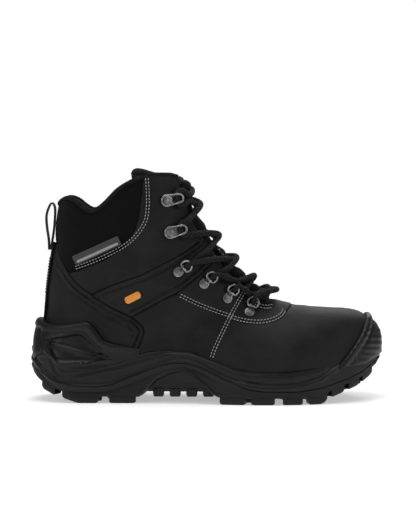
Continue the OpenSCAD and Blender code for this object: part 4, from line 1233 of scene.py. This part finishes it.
def make_outsole():
    """Side wall and plate in one, with the tread blocks under them."""
    foot = wall_foot(X_BARE)
    top = height(OUTSOLE_LINE, X_BARE)
    half = along(HALF_OUTLINE, OUTLINE_S)[:, 1]
    at_waist = ease((X_BARE + 57) / 4) * ease((15 - X_BARE) / 4)
    plate = height(UNDERSIDE, X_BARE) + LUG
    inset_in = mix(np.minimum(8.0, np.maximum(half - 1, 1)), np.maximum(half - 33, 4), at_waist)
    rings = [plain_ring(np.minimum(inset_in + 1.5, np.maximum(half - 0.5, 1)), mix(plate, 9.5, at_waist)),
             plain_ring(inset_in, mix(plate, foot - 1.0, at_waist)), plain_ring(2.2, foot)]
    insets = np.zeros(18)
    insets[[0, -1]] = 1.0, 0.5
    rings += [wall_ring(inset, mix(foot + 0.5, top - 0.2, share))
              for inset, share in zip(insets, np.linspace(0, 1, 18))]
    rings += [plain_ring(2.4, top), plain_ring(8.0, np.minimum(top, height(CAVITY_FLOOR, X_BARE) - 3))]
    soup = Soup()
    soup.add(*loft(rings))
    at = np.linspace(0, LAST_PLACE, 2000)
    x_at = along(HALF_OUTLINE, at)[:, 0]
    for side in SIDES:
        for x0, x1 in RIM_BLOCKS:
            s0, s1 = np.interp([x0, x1], x_at, at)
            soup.add(*lug(s0, s1, 13.0 if x0 < 95 else 10.5, side))
        for x0 in (22, 40, 58, 76):
            corners = [[x0, 1.6], [x0 + 5, 1.6], [x0 + 14, 15], [x0 + 16, 33], [x0 + 10, 33], [x0 + 8, 18]]
            soup.add(*block([[x, y * (1 if x < 80 else 0.86)] for x, y in corners], side, 0.0, LUG + 1.5))
        for x0 in (-118, -102, -86):
            corners = [[x0, 1.4], [x0 + 5, 1.4], [x0 + 13, 13], [x0 + 13, 22], [x0 + 7, 22], [x0 + 6, 14]]
            soup.add(*block(corners, side, 0.0, LUG + 1.5))
        for x0 in (98, 110, 122):
            low = float(height(UNDERSIDE, x0 + 3)) + 0.2
            wide = 22 - (x0 - 98) * 0.35
            corners = [[x0, 1.6], [x0 + 7, 1.6], [x0 + 9, wide], [x0 + 2, wide]]
            soup.add(*block(corners, side, low, low + LUG + 1.5))
        for x0 in (-44, -30, -16, -2):
            x1 = x0 + 5 * (side < 0)
            corners = [[x1 - 2, 21], [x1 + 8, 21], [x1 + 7, 32.5], [x1 - 1, 32.5]]
            soup.add(*block(corners, side, 5.2, 12))
    for x0 in (-44, -30, -16, -2):
        soup.add(*block([[x0, 33], [x0 + 5, 33], [x0 + 5, -33], [x0, -33]], 1, 5.5, 11))
    soup.add(*block([[-58, 21], [14, 23], [14, -23], [-58, -21]], 1, 8.0, 13))
    soup.piece("Outsole", "boot", "tread_rubber", ["outsole"], "Outsole rubber")


def make_midsole():
    low = height(OUTSOLE_LINE, X_BARE)
    top = height(MIDSOLE_LINE, X_BARE)
    rings = [plain_ring(8.0, np.minimum(low, height(CAVITY_FLOOR, X_BARE) - 3) + 0.4),
             plain_ring(2.4, low + 0.3)]
    for share in np.linspace(0, 1, 20):
        z = mix(low + 0.2, top - 0.6, share)
        round_top = 1.3 * ease((share - 0.8) / 0.2)
        rings.append(wall_ring(0.3 + round_top, z))
    rings += [plain_ring(2.6, top), plain_ring(3.6, top - 0.6), plain_ring(4.4, top - 4),
              plain_ring(5.6, top - 9)]
    points, faces = loft(rings)
    finish_piece("Midsole", points, faces, "boot", ["midsole"], "Midsole foam")


CAGE_TOP = curve([
    [-56, 45.5], [-70, 48.3], [-85, 52], [-91, 59], [-98, 67], [-108, 66.8], [-121, 64.5], [-131, 64.6],
    [-137.5, 68]], 8)
WINDOW = np.array([
    [-132, 51.2], [-109.5, 57.6], [-104, 56.8], [-96, 49.8], [-88, 43.2], [-80, 37.6], [-100, 35],
    [-122, 33.5], [-127, 38]])
BLADE = np.array([[-129, 48.6], [-83, 38.2]])


def around(ring, by):
    """A closed line grown or shrunk about its middle."""
    return ring + by * unit(ring - ring.mean(0))


def make_cage():
    """Moulded cage round the heel: a frame with a hollow window and a blade across it."""
    top = locate(CAGE_TOP[::-1])
    low_x = np.linspace(-56, -133, 40)
    low = locate(np.stack([low_x, height(MIDSOLE_LINE, low_x) - 2.5], 1))
    half = np.vstack([[[top[0, 0], 180.0]], top, low, [[low[-1, 0] + 0.1, 180.0]]])
    ring = np.vstack([WINDOW, WINDOW[:1]])
    creases = []
    for line in (ring, around(ring, -1.6), around(ring, 2.4), BLADE, shifted(BLADE, 1.8),
                 shifted(BLADE, -1.8),
                 shifted(CAGE_TOP, 2.6), shifted(CAGE_TOP, 4.6), shifted(CAGE_TOP, 6.2)):
        where = locate(resample(line, 1.0))
        creases += [where, where * [1, -1] + [0, 360]]
    panel = Panel(mirrored(half, 180.0), 2.0, 1.2, creases=creases)
    flat = panel.base[:, [0, 2]]
    u, a = panel.where[:, 0], np.abs(panel.where[:, 1])
    back = ease((90 - np.abs(180 - a) - 35) / 50)
    lift = mix(3.6, np.interp(u, [4, 5, 6, 7], [3.8, 5.0, 9, 10.4]), back)
    edge = line_distance(flat, CAGE_TOP)
    rim = 1.3 * (1 - ease((edge - 4.6) / 1.6))
    away = line_distance(flat, WINDOW, closed=True)
    within = inside(flat, WINDOW)
    hole = np.where(within, ease(away / 1.6), 0.0)
    ridge = bead(line_distance(flat, BLADE), 1.8, 1.5)
    frame_line = np.where(within, 0, 0.9 * (1 - ease(away / 2.4)))
    channel = -bead(line_distance(flat, curve(HEEL_GROOVE, 4)), 1.0, 0.9) * (flat[:, 0] > -140)
    tail = ease((-58 - flat[:, 0]) / 26)
    top = 1.2 + (lift + rim - 1.2 + rolled(panel.depth, 1.8, 2.2)) * tail
    top = top + frame_line + channel - hole * (3.0 - ridge)
    points, faces = panel.solid(np.maximum(top, 0.5), MOULDED_UNDER)
    finish_piece("Heel cage", points, faces, "boot", ["heel_stabiliser"], "Cage plastic")


MOULDED_UNDER = 0.15            # gap between the leather and the moulded pieces over it
GUARD_LINE = curve([[108, 25], [110, 32], [115, 38], [123, 48], [130, 59], [134.5, 71]], 8)


def make_toe_guard():
    """Rubber guard over the toe, with a slot at its tip."""
    rear = locate(GUARD_LINE[::-1])
    low_x = np.linspace(109, 143.5, 24)
    low = locate(np.stack([low_x, height(MIDSOLE_LINE, low_x) - 4], 1))
    tip = 18.93
    low[:, 0] = np.minimum(low[:, 0], tip)
    half = np.vstack([[[rear[0, 0], 0.0]], rear[1:-8], low, [[tip, 150.0], [tip, 0.0]]])
    panel = Panel(mirrored(half), 1.5, 1.2)
    u = panel.where[:, 0]
    flat = panel.base[:, [0, 2]]
    edge = line_distance(flat, GUARD_LINE)
    lift = mix(3.0, 5.4, ease((u - 17) / 1.5))
    slot = ease((3.4 - np.abs(panel.base[:, 1] - centre_y(146))) / 1.2) * ease((panel.base[:, 2] - 40) / 3) \
        * ease((62 - panel.base[:, 2]) / 3) * ease((panel.base[:, 0] - 138) / 3)
    rim = bead(edge - 2.6, 1.0, 1.7) - bead(edge - 6.4, 0.7, 1.1)
    wave = 0.16 * np.sin(panel.base[:, 2] * 1.3 + 0.2 * panel.base[:, 0])
    is_tip = u > tip - 0.02
    roll = np.where(is_tip | (panel.depth > 4), 0.0, rolled(np.where(u > 18.3, 9.0, panel.depth), 2.2, 2.2))
    top = lift + rim + wave * (1 - slot) - 3.2 * slot + roll
    points, faces = panel.solid(np.maximum(top, 0.3), MOULDED_UNDER)
    n = len(panel.base)
    ends = dict((a, b) for a, b in panel.loop)
    chain = [a for a in ends if is_tip[a] and is_tip[ends[a]]]
    if chain:
        start = next((a for a in chain if a not in {ends[b] for b in chain}), chain[0])
        order = [start]
        while order[-1] in ends and is_tip[ends[order[-1]]] and ends[order[-1]] != start:
            order.append(ends[order[-1]])
        for shift in (0, n):
            faces.append([i + shift for i in order])
    finish_piece("Toe guard", points, faces, "boot", ["toe_guard"], "Toe rubber")


# ---- Lacing --------------------------------------------------------------------------------------

RING_PLACES = [[[35.4, 75], [40.8, 87]], [[16.6, 87], [23, 98]], [[-3, 99.6], [6, 108]],
               [[-24.5, 109.7], [-14.5, 117]]]
HOOK_PLACES = [[[-31, 142.4], [-18, 145.4]], [[-34.3, 169], [-20, 171.6]]]
BAR_OUT, BAR_RISE = 5.3, 2.3
RING_RADIUS, RING_OUT, RING_TILT = 4.6, 3.0, math.radians(28)
WIRE = 0.9                      # radius of the rings' wire
TILT_COS, TILT_SIN = math.cos(RING_TILT), math.sin(RING_TILT)


def frame_at(place, side, off):
    """Origin, pull direction, across and straight out of the leather."""
    q, e = locate(place)
    p = skin(q[0], side * q[1], off)
    n = skin_normal(q[0], side * q[1])
    d = skin(e[0], side * e[1], off) - p
    way = unit(d - d.dot(n) * n)
    return p, way, np.cross(n, way), n


def in_frame(f, v):
    """Points given along the three directions of a frame."""
    v = np.asarray(v, float)
    return f[0] + v[..., :1] * f[1] + v[..., 1:2] * f[2] + v[..., 2:3] * f[3]


def ring_off(i):
    """Height of a ring's clip over the last; the fourth stands on the ankle strap."""
    return 0.5 + (0.8 if i == 3 else 0.0)


ARCH_TOP = np.array([BAR_OUT + (RING_OUT + RING_RADIUS) * TILT_COS, 0,
                     BAR_RISE + (RING_OUT + RING_RADIUS) * TILT_SIN])


def ring_turn(i, side):
    """Where the lace goes through a ring."""
    f = frame_at(RING_PLACES[i], side, ring_off(i))
    t = np.radians([115, 70, 23, -23, -70, -112])[:, None]
    return in_frame(f, ARCH_TOP - 3.5 * np.cos(t) * np.array([TILT_COS, 0, TILT_SIN])
                    + 4 * np.sin(t) * np.array([-TILT_SIN, 0, TILT_COS]))


def hook_turn(i, side):
    """Where the lace goes round a speed hook."""
    f = frame_at(HOOK_PLACES[i], side, 0.5)
    route = np.array([[14, -5.8, 3.3], [9.6, -4.6, 3.3], [8.9, 0, 3.3], [9.6, 4.6, 3.3], [14, 5.8, 3.3]])
    return in_frame(f, route * [1, side, 1])


# Rib and height where the two halves of the lace cross, and the ribs at which they leave and reach the edges
CROSSINGS = [
    [8.0, 2.4, 8.7, 7.5], [6.1, 2.4, 6.6, 5.7], [4.3, 2.6, 4.7, 4.0], [2.9, 2.8, 3.3, 2.6],
    [1.6, 2.4, 1.9, 1.4]]


OVER = 3.8                      # how much higher the upper of two crossing laces lies


def crossing(k, side, over):
    """Where the lace crosses from one side to the other, over or under its other half."""
    c = CROSSINGS[k]
    u = np.array([c[2], c[0], c[3]])
    a = np.array([side * 1.15 * throat_angle(c[2]), side * 0.01, -side * 1.15 * throat_angle(c[3])])
    return skin(u, a, np.array([3.2, c[1] + (OVER if over else 0), 4.6]))


def lace_run(side):
    """One half of the lace, from the lowest ring to the top hook."""
    parts = []
    for k in range(4):
        way = side if k % 2 == 0 else -side
        parts += [ring_turn(k, way), crossing(k, way, side > 0)]
    return np.vstack(parts + [hook_turn(0, side), crossing(4, side, side > 0), hook_turn(1, -side)])


# Free ends of the lace down the inner side, as [rib, angle, height]
END_OVER = np.array([
    [1.25, 24, 5.4], [1.1, -6, 3.2], [0.95, -40, 4.4], [0.85, -62, 3], [1.1, -80, 2.5], [1.6, -92, 2.5],
    [2.3, -98, 2.5], [3.0, -100, 2.6], [3.7, -98, 3.4]])
END_UNDER = np.array([
    [0.95, -47, 3.6], [0.88, -56, 3.2], [1.1, -68, 2.6], [1.6, -77, 2.5], [2.2, -80, 2.5], [2.8, -84, 2.5],
    [3.3, -88, 2.6]])


def lace_route():
    """The whole lace, from one free end to the other."""
    under, over = skin(*END_UNDER.T), skin(*END_OVER.T)
    return np.vstack([under[::-1], lace_run(1)[::-1], skin(9.35, 0.01, 8.0)[None], lace_run(-1), over])


def smooth_path(points, step):
    """Even points along a rounded curve through all the given points."""
    points = np.asarray(points, float)
    pad = np.vstack([2 * points[0] - points[1], points, 2 * points[-1] - points[-2]])
    out = []
    for p0, p1, p2, p3 in zip(pad, pad[1:], pad[2:], pad[3:]):
        t0 = 0.0
        t1 = t0 + np.linalg.norm(p1 - p0) ** 0.5
        t2 = t1 + np.linalg.norm(p2 - p1) ** 0.5
        t3 = t2 + np.linalg.norm(p3 - p2) ** 0.5
        t = np.linspace(t1, t2, 14, endpoint=False)[:, None]
        a1 = (t1 - t) / (t1 - t0) * p0 + (t - t0) / (t1 - t0) * p1
        a2 = (t2 - t) / (t2 - t1) * p1 + (t - t1) / (t2 - t1) * p2
        a3 = (t3 - t) / (t3 - t2) * p2 + (t - t2) / (t3 - t2) * p3
        b1 = (t2 - t) / (t2 - t0) * a1 + (t - t0) / (t2 - t0) * a2
        b2 = (t3 - t) / (t3 - t1) * a2 + (t - t1) / (t3 - t1) * a3
        out.append((t2 - t) / (t2 - t1) * b1 + (t - t1) / (t2 - t1) * b2)
    return resample(np.vstack(out + [points[-1:]]), step)


LACE_STEP, LACE_SIDES = 0.55, 24
LACE_AT_RING = 1.93             # radius of the lace where a ring squeezes it


def make_lace(diameter):
    """Round braided lace, thinner where it passes through the rings, and its two tips."""
    route = lace_route()
    path = smooth_path(route, LACE_STEP)
    turns = np.vstack([ring_turn(k, side) for k in range(4) for side in SIDES])
    near = np.array([np.min(np.linalg.norm(turns - p, axis=1)) for p in path])
    points, faces, uv = tube_mesh(path, mix(LACE_AT_RING, diameter / 2, ease((near - 4) / 6)), LACE_SIDES)
    round_ = np.tile(np.arange(LACE_SIDES) / LACE_SIDES, len(path)) * 2 * np.pi
    along_ = np.repeat(np.arange(len(path)) * LACE_STEP, LACE_SIDES)
    strand = np.maximum(np.sin(6 * round_ + 1.6 * along_), np.sin(6 * round_ - 1.6 * along_))
    centre = np.repeat(path, LACE_SIDES, axis=0)
    points = centre + (points - centre) * (0.965 + 0.05 * strand)[:, None]
    uv[:, 1] = along_ / 10
    finish_piece("Lace", points, faces, "boot", ["lace"], "Lace cord", uv=uv)
    soup = Soup()
    for end, before in ((route[0], route[1]), (route[-1], route[-2])):
        way = unit(end - before)
        at = np.linspace(-1.0, 18, 20)
        radius = np.interp(at, [-1.0, -0.6, 0.4, 1.2, 16.5, 17.6, 18], [1.5, 2.0, 2.0, 1.6, 1.6, 1.45, 1.0])
        soup.add(*tube_mesh(end + at[:, None] * way, radius, 20))
    soup.piece("Lace tips", "boot", "lace_tip", ["lace_tips"], "Lace tip")


def lathe(profile, f, sides=36):
    """Turned piece: [radius, height] points spun round the line out of the leather at frame f."""
    profile = np.asarray(profile, float)
    turn = np.linspace(0, 2 * np.pi, sides, endpoint=False)
    rings = np.stack([profile[:, None, 0] * np.cos(turn), profile[:, None, 0] * np.sin(turn),
                      np.broadcast_to(profile[:, None, 1], (len(profile), sides))], -1)
    return in_frame(f, rings.reshape(-1, 3)), capped_faces(len(profile), sides)


RIVET = [
    [0.6, 0.2], [1.6, 0.3], [1.6, 0.9], [3.0, 0.92], [3.25, 1.05], [3.2, 1.3], [2.7, 1.55], [1.9, 1.74],
    [1.0, 1.84], [0.3, 1.86]]


def plate_outline(length, rear, front):
    """Outline of a teardrop plate with a round rear end and a round front end."""
    quarter = np.linspace(0, np.pi / 2, 20)
    x = np.r_[-rear * np.cos(quarter), length + front * np.sin(quarter)]
    w = np.r_[rear * np.sin(quarter), front * np.cos(quarter)]
    return np.vstack([np.stack([x, w], 1), np.stack([x, -w], 1)[-2:0:-1]])


def stamped(plan, levels, f):
    """Closed plate from a plan outline; levels are [inset, height] from the underside up."""
    rings = [np.column_stack([around(plan, -inset), np.full(len(plan), z)]) for inset, z in levels]
    return in_frame(f, np.vstack(rings)), capped_faces(len(levels), len(plan))


CLIP_HALF = 2.2                 # half width of the clips that hold the rings


def make_ring_units():
    """Riveted clips of the lace rings: a plate, a tongue and the sleeve round the ring's bar."""
    clips, rivets = Soup(), Soup()
    turn = np.linspace(-0.35 * np.pi, 1.35 * np.pi, 26) - np.pi / 2 - 0.6
    circle = np.stack([np.cos(turn), np.sin(turn)], 1)
    sleeve = np.vstack([1.72 * circle, 1.12 * circle[::-1]])
    rings = [[[BAR_OUT + grow * p[0], y, BAR_RISE + grow * p[1]] for p in sleeve]
             for y, grow in ((-CLIP_HALF, 0.94), (0.15 - CLIP_HALF, 1), (CLIP_HALF - 0.15, 1),
                             (CLIP_HALF, 0.94))]
    tongue = np.array([[0, -CLIP_HALF], [BAR_OUT, -CLIP_HALF], [BAR_OUT, CLIP_HALF], [0, CLIP_HALF]])
    for i, place in enumerate(RING_PLACES):
        for side in SIDES:
            f = frame_at(place, side, ring_off(i))
            clips.add(*stamped(plate_outline(1.0, 4.2, 4.0),
                               [(0.5, 0), (0.1, 0.12), (0, 0.45), (0.15, 0.8), (0.7, 0.95)], f))
            clips.add(*stamped(tongue, [(0.1, 0.05), (0, 0.3), (0, 0.8), (0.15, 0.95)], f))
            clips.add(in_frame(f, np.array(rings).reshape(-1, 3)), strip_faces(len(rings), len(sleeve)))
            rivets.add(*lathe(RIVET, f))
    clips.piece("Ring clips", "boot", "dark_metal", ["ring_clips"], "Dark metal")
    rivets.piece("Ring rivets", "boot", "rivet_metal", ["ring_rivets"], "Rivet metal")


def make_rings():
    """D-shaped wire rings; each turns on the bar in its clip."""
    start = math.acos(-RING_OUT / RING_RADIUS) - 0.02
    t = np.linspace(-start, start, 60)
    bow = np.stack([RING_OUT + RING_RADIUS * np.cos(t), RING_RADIUS * np.sin(t)], 1)
    bar = np.stack([np.zeros(12), np.linspace(bow[-1, 1] - 0.5, bow[0, 1] + 0.5, 12)], 1)
    flat = resample(np.vstack([bow, bar, bow[:1]]), 0.5)
    for _ in range(2):
        flat = (np.roll(flat, 1, axis=0) + 2 * flat + np.roll(flat, -1, axis=0)) / 4
    local = np.column_stack([BAR_OUT + flat[:, 0] * TILT_COS, flat[:, 1], BAR_RISE + flat[:, 0] * TILT_SIN])
    count, turn = len(local), np.linspace(0, 2 * np.pi, 14, endpoint=False)[None, :, None]
    faces = [[a * 14 + j, a * 14 + (j + 1) % 14, (a + 1) % count * 14 + (j + 1) % 14,
              (a + 1) % count * 14 + j]
             for a in range(count) for j in range(14)]
    for i, place in enumerate(RING_PLACES):
        for side in SIDES:
            f = frame_at(place, side, ring_off(i))
            path = in_frame(f, local)
            up = -TILT_SIN * f[1] + TILT_COS * f[3]
            across = np.cross(unit(np.roll(path, -1, axis=0) - np.roll(path, 1, axis=0)), up)
            points = path[:, None] + WIRE * (np.cos(turn) * up + np.sin(turn) * across[:, None])
            soup = Soup()
            soup.add(points, faces)
            place_name = SIDE_NAME[side] + " " + str(i + 1)
            node = "ring_" + place_name.replace(" ", "_")
            soup.piece("Lace ring " + place_name, node, "dark_metal", [node], "Dark metal")


def make_hooks():
    """Speed hooks: a teardrop plate with a raised rim, bent up and back over the lace at its front."""
    hooks, rivets = Soup(), Soup()
    loop = plate_outline(9.4, 4.5, 3.5)
    loop = resample(np.vstack([loop, loop[:1]]), 0.5)[:-1]
    loop = np.column_stack([loop, 1.0 + 5.0 * ease((loop[:, 0] - 1.0) / 8.5)])
    loop = np.vstack([loop, loop[:2]])
    bend = np.linspace(-np.pi / 2, 0.35, 10)
    bend = np.stack([10.0 + 2.6 * np.cos(bend), 3.05 + 2.6 * np.sin(bend)], 1)
    spine = resample(np.vstack([[[4.0, 0.45], [8.0, 0.45]], bend, [[12.3, 5.9]]]), 0.5)
    spine = np.column_stack([spine[:, 0], np.zeros(len(spine)), spine[:, 1]])
    for place in HOOK_PLACES:
        for side in SIDES:
            f = frame_at(place, side, 0.5)
            hooks.add(*stamped(plate_outline(5.0, 4.4, 3.4),
                               [(0.5, 0.0), (0.1, 0.12), (0, 0.4), (0.1, 0.62), (0.5, 0.7)], f))
            hooks.add(*tube_mesh(in_frame(f, loop), 0.95, 12, normals=np.tile(f[3], (len(loop), 1)),
                                 flat=0.85))
            hooks.add(*ribbon_mesh(in_frame(f, spine), 5.4, 0.9, across=f[2]))
            rivets.add(*lathe(RIVET, f))
    hooks.piece("Speed hooks", "boot", "dark_metal", ["speed_hooks"], "Dark metal")
    rivets.piece("Hook rivets", "boot", "rivet_metal", ["hook_rivets"], "Rivet metal")


def make_keeper():
    """Short webbing strap across the tongue that the lace passes beside."""
    rib = 3.6
    n = skin_normal(rib, 0.5)
    down = unit(np.cross(n, [0, 1, 0]))
    path = resample(skin(np.full(21, rib), np.linspace(-15, 15, 21), 0.35), 0.8)
    up = np.tile(n, (len(path), 1))
    soup = Soup()
    soup.add(*ribbon_mesh(path, 8, 1.1, down))
    soup.piece("Lace keeper", "tongue", "webbing", ["lace_keeper"], "Webbing")
    rows = Soup()
    for shift in (-2.6, 2.6):
        row_on(rows, path + shift * down + 0.5 * n, up, thick=0.36)
    rows.piece("Keeper stitching", "tongue", "webbing", [], "Light thread")


# ---- CAD nodes that stay -------------------------------------------------------------------------

KEPT = {"steel_toe_cap": "Steel", "steel_midsole_plate": "Steel", "insole_board": "Board",
        "heel_stiffener": "Stiffener", "lining_vamp": "Lining mesh"}


def dress_frame():
    """Gives the hidden pieces that stay as they are in the frame their materials."""
    for node, key in KEPT.items():
        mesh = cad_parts[node].data
        mesh.materials.clear()
        mesh.materials.append(material(key))


# ---- Stage ---------------------------------------------------------------------------------------

FLOOR_REACH = 1.2               # metres, like every length of the stage
BACKDROP, ROOM_LIGHT = 1.0, 0.26    # the world as the camera sees it, and as it lights the boot
LENS, SENSOR = 135.0, 36.0
VIEW_WIDTH = 0.4326             # how much the camera takes in at the boot
VIEW_AIM = Vector((0.0006, -0.04, 0.120))
VIEW_DROP = math.radians(3.0)   # how far the camera looks down
# Name, place, aim, size in metres, power in watts
LIGHTS = (("Overhead", (-0.1, -0.1, 1.5), (0, 0, 0.08), 1.0, 12.0),
          ("Front left", (-1.2, -1.1, 0.8), (0, 0, 0.08), 0.5, 5.0),
          ("Front right", (1.3, -0.9, 0.6), (0.03, 0, 0.08), 0.45, 4.0),
          ("Behind", (0.4, 1.3, 1.1), (0, 0, 0.1), 0.9, 7.0))


def make_stage():
    """Pale floor, soft studio light and a long lens square to the boot's outer side."""
    mesh = bpy.data.meshes.new("Floor")
    turn = 2 * np.pi * np.arange(96) / 96
    mesh.from_pydata([(FLOOR_REACH * math.cos(a), FLOOR_REACH * math.sin(a), 0) for a in turn], [],
                     [tuple(range(len(turn)))])
    floor = bpy.data.objects.new("Floor", mesh)
    bpy.context.collection.objects.link(floor)
    mesh.materials.append(material("Floor"))
    world = bpy.data.worlds.new("Studio")
    world.use_nodes = True
    nodes, links = world.node_tree.nodes, world.node_tree.links
    seen, room = nodes["Background"], nodes.new("ShaderNodeBackground")
    ray, either = nodes.new("ShaderNodeLightPath"), nodes.new("ShaderNodeMixShader")
    for sky, strength in ((seen, BACKDROP), (room, ROOM_LIGHT)):
        sky.inputs["Color"].default_value = (1.0, 1.0, 1.0, 1.0)
        sky.inputs["Strength"].default_value = strength
    links.new(ray.outputs["Is Camera Ray"], either.inputs[0])
    links.new(room.outputs[0], either.inputs[1])
    links.new(seen.outputs[0], either.inputs[2])
    links.new(either.outputs[0], nodes["World Output"].inputs["Surface"])
    bpy.context.scene.world = world
    for name, place, aim, size, power in LIGHTS:
        light = bpy.data.lights.new(name, "AREA")
        light.size, light.energy = size, power
        lamp = bpy.data.objects.new(name, light)
        lamp.location = place
        lamp.rotation_euler = (Vector(aim) - Vector(place)).to_track_quat("-Z", "Y").to_euler()
        bpy.context.collection.objects.link(lamp)
    camera = bpy.data.cameras.new("Camera")
    camera.lens, camera.sensor_width = LENS, SENSOR
    reach = VIEW_WIDTH * LENS / SENSOR
    view = bpy.data.objects.new("Camera", camera)
    view.location = VIEW_AIM + Vector((0, -reach * math.cos(VIEW_DROP), reach * math.sin(VIEW_DROP)))
    view.rotation_euler = (VIEW_AIM - view.location).to_track_quat("-Z", "Y").to_euler()
    bpy.context.collection.objects.link(view)
    bpy.context.scene.camera = view
    scene = bpy.context.scene
    scene.view_settings.view_transform = "Standard"
    scene.view_settings.look = "None"
    scene.view_settings.exposure = 0.0


# ---- Add-on --------------------------------------------------------------------------------------

class BootSettings(bpy.types.PropertyGroup):
    collar_puff: FloatProperty(name="Collar puff",
                               description="How far the padded collar swells, in millimetres",
                               default=2.4, min=1.0, max=4.0, unit="NONE")
    tongue_puff: FloatProperty(name="Tongue puff",
                               description="How far the tongue's quilting swells, in millimetres",
                               default=3.6, min=1.0, max=5.0, unit="NONE")
    lace_diameter: FloatProperty(name="Lace diameter", description="Diameter of the round lace",
                                 default=0.005,
                                 min=0.003, max=0.005, unit="LENGTH")


class BOOT_OT_sole(bpy.types.Operator):
    """Makes the outsole, the midsole, the heel cage and the toe guard"""
    bl_idname = "boot.sole"
    bl_label = "Sole"
    bl_options = {"REGISTER", "UNDO"}

    def execute(self, context):
        make_outsole()
        make_midsole()
        make_cage()
        make_toe_guard()
        return {"FINISHED"}


class BOOT_OT_upper(bpy.types.Operator):
    """Makes the leather panels of the upper"""
    bl_idname = "boot.upper"
    bl_label = "Leather upper"
    bl_options = {"REGISTER", "UNDO"}

    def execute(self, context):
        make_quarters()
        make_front()
        make_heel()
        return {"FINISHED"}


class BOOT_OT_stitching(bpy.types.Operator):
    """Makes the rows of stitches on the upper"""
    bl_idname = "boot.stitching"
    bl_label = "Stitching"
    bl_options = {"REGISTER", "UNDO"}

    def execute(self, context):
        make_stitching()
        return {"FINISHED"}


class BOOT_OT_padding(bpy.types.Operator):
    """Makes the padded collar with its binding, and the padded tongue with its keeper"""
    bl_idname = "boot.padding"
    bl_label = "Collar and tongue"
    bl_options = {"REGISTER", "UNDO"}

    def execute(self, context):
        make_collar(context.scene.boot_settings.collar_puff)
        make_binding()
        make_tongue(context.scene.boot_settings.tongue_puff)
        make_keeper()
        return {"FINISHED"}


class BOOT_OT_inside(bpy.types.Operator):
    """Makes the lining and the footbed, and finishes the pieces hidden in the boot"""
    bl_idname = "boot.inside"
    bl_label = "Lining and footbed"
    bl_options = {"REGISTER", "UNDO"}

    def execute(self, context):
        make_lining()
        make_footbed()
        dress_frame()
        return {"FINISHED"}


class BOOT_OT_trim(bpy.types.Operator):
    """Makes the pull loop, the heel tape, the plain label and the plain badge"""
    bl_idname = "boot.trim"
    bl_label = "Webbing and labels"
    bl_options = {"REGISTER", "UNDO"}

    def execute(self, context):
        make_webbing()
        make_labels(context.scene.boot_settings.collar_puff)
        return {"FINISHED"}


class BOOT_OT_hardware(bpy.types.Operator):
    """Makes the lace rings, their clips, the speed hooks and the rivets"""
    bl_idname = "boot.hardware"
    bl_label = "Lace hardware"
    bl_options = {"REGISTER", "UNDO"}

    def execute(self, context):
        make_ring_units()
        make_rings()
        make_hooks()
        return {"FINISHED"}


class BOOT_OT_lace(bpy.types.Operator):
    """Makes the braided lace and its tips"""
    bl_idname = "boot.lace"
    bl_label = "Lace"
    bl_options = {"REGISTER", "UNDO"}

    def execute(self, context):
        make_lace(context.scene.boot_settings.lace_diameter / MM)
        return {"FINISHED"}


class BOOT_OT_stage(bpy.types.Operator):
    """Makes the floor, the lights and the camera"""
    bl_idname = "boot.stage"
    bl_label = "Stage"
    bl_options = {"REGISTER", "UNDO"}

    def execute(self, context):
        make_stage()
        return {"FINISHED"}


class BOOT_PT_panel(bpy.types.Panel):
    """Buttons for every piece of the boot"""
    bl_idname = "BOOT_PT_panel"
    bl_label = "Safety boot"
    bl_space_type = "VIEW_3D"
    bl_region_type = "UI"
    bl_category = "Boot"

    def draw(self, context):
        for name in ("collar_puff", "tongue_puff", "lace_diameter"):
            self.layout.prop(context.scene.boot_settings, name)
        for operator in OPERATORS:
            self.layout.operator(operator.bl_idname)


OPERATORS = (BOOT_OT_sole, BOOT_OT_upper, BOOT_OT_stitching, BOOT_OT_padding, BOOT_OT_inside, BOOT_OT_trim,
             BOOT_OT_hardware, BOOT_OT_lace, BOOT_OT_stage)
CLASSES = (BootSettings,) + OPERATORS + (BOOT_PT_panel,)


def register():
    for cls in CLASSES:
        bpy.utils.register_class(cls)
    bpy.types.Scene.boot_settings = PointerProperty(type=BootSettings)


def unregister():
    del bpy.types.Scene.boot_settings
    for cls in reversed(CLASSES):
        bpy.utils.unregister_class(cls)


def main():
    register()
    bpy.ops.boot.sole()
    bpy.ops.boot.upper()
    bpy.ops.boot.stitching()
    bpy.ops.boot.padding()
    bpy.ops.boot.inside()
    bpy.ops.boot.trim()
    bpy.ops.boot.hardware()
    bpy.ops.boot.lace()
    bpy.ops.boot.stage()


if __name__ == "__main__":
    main()
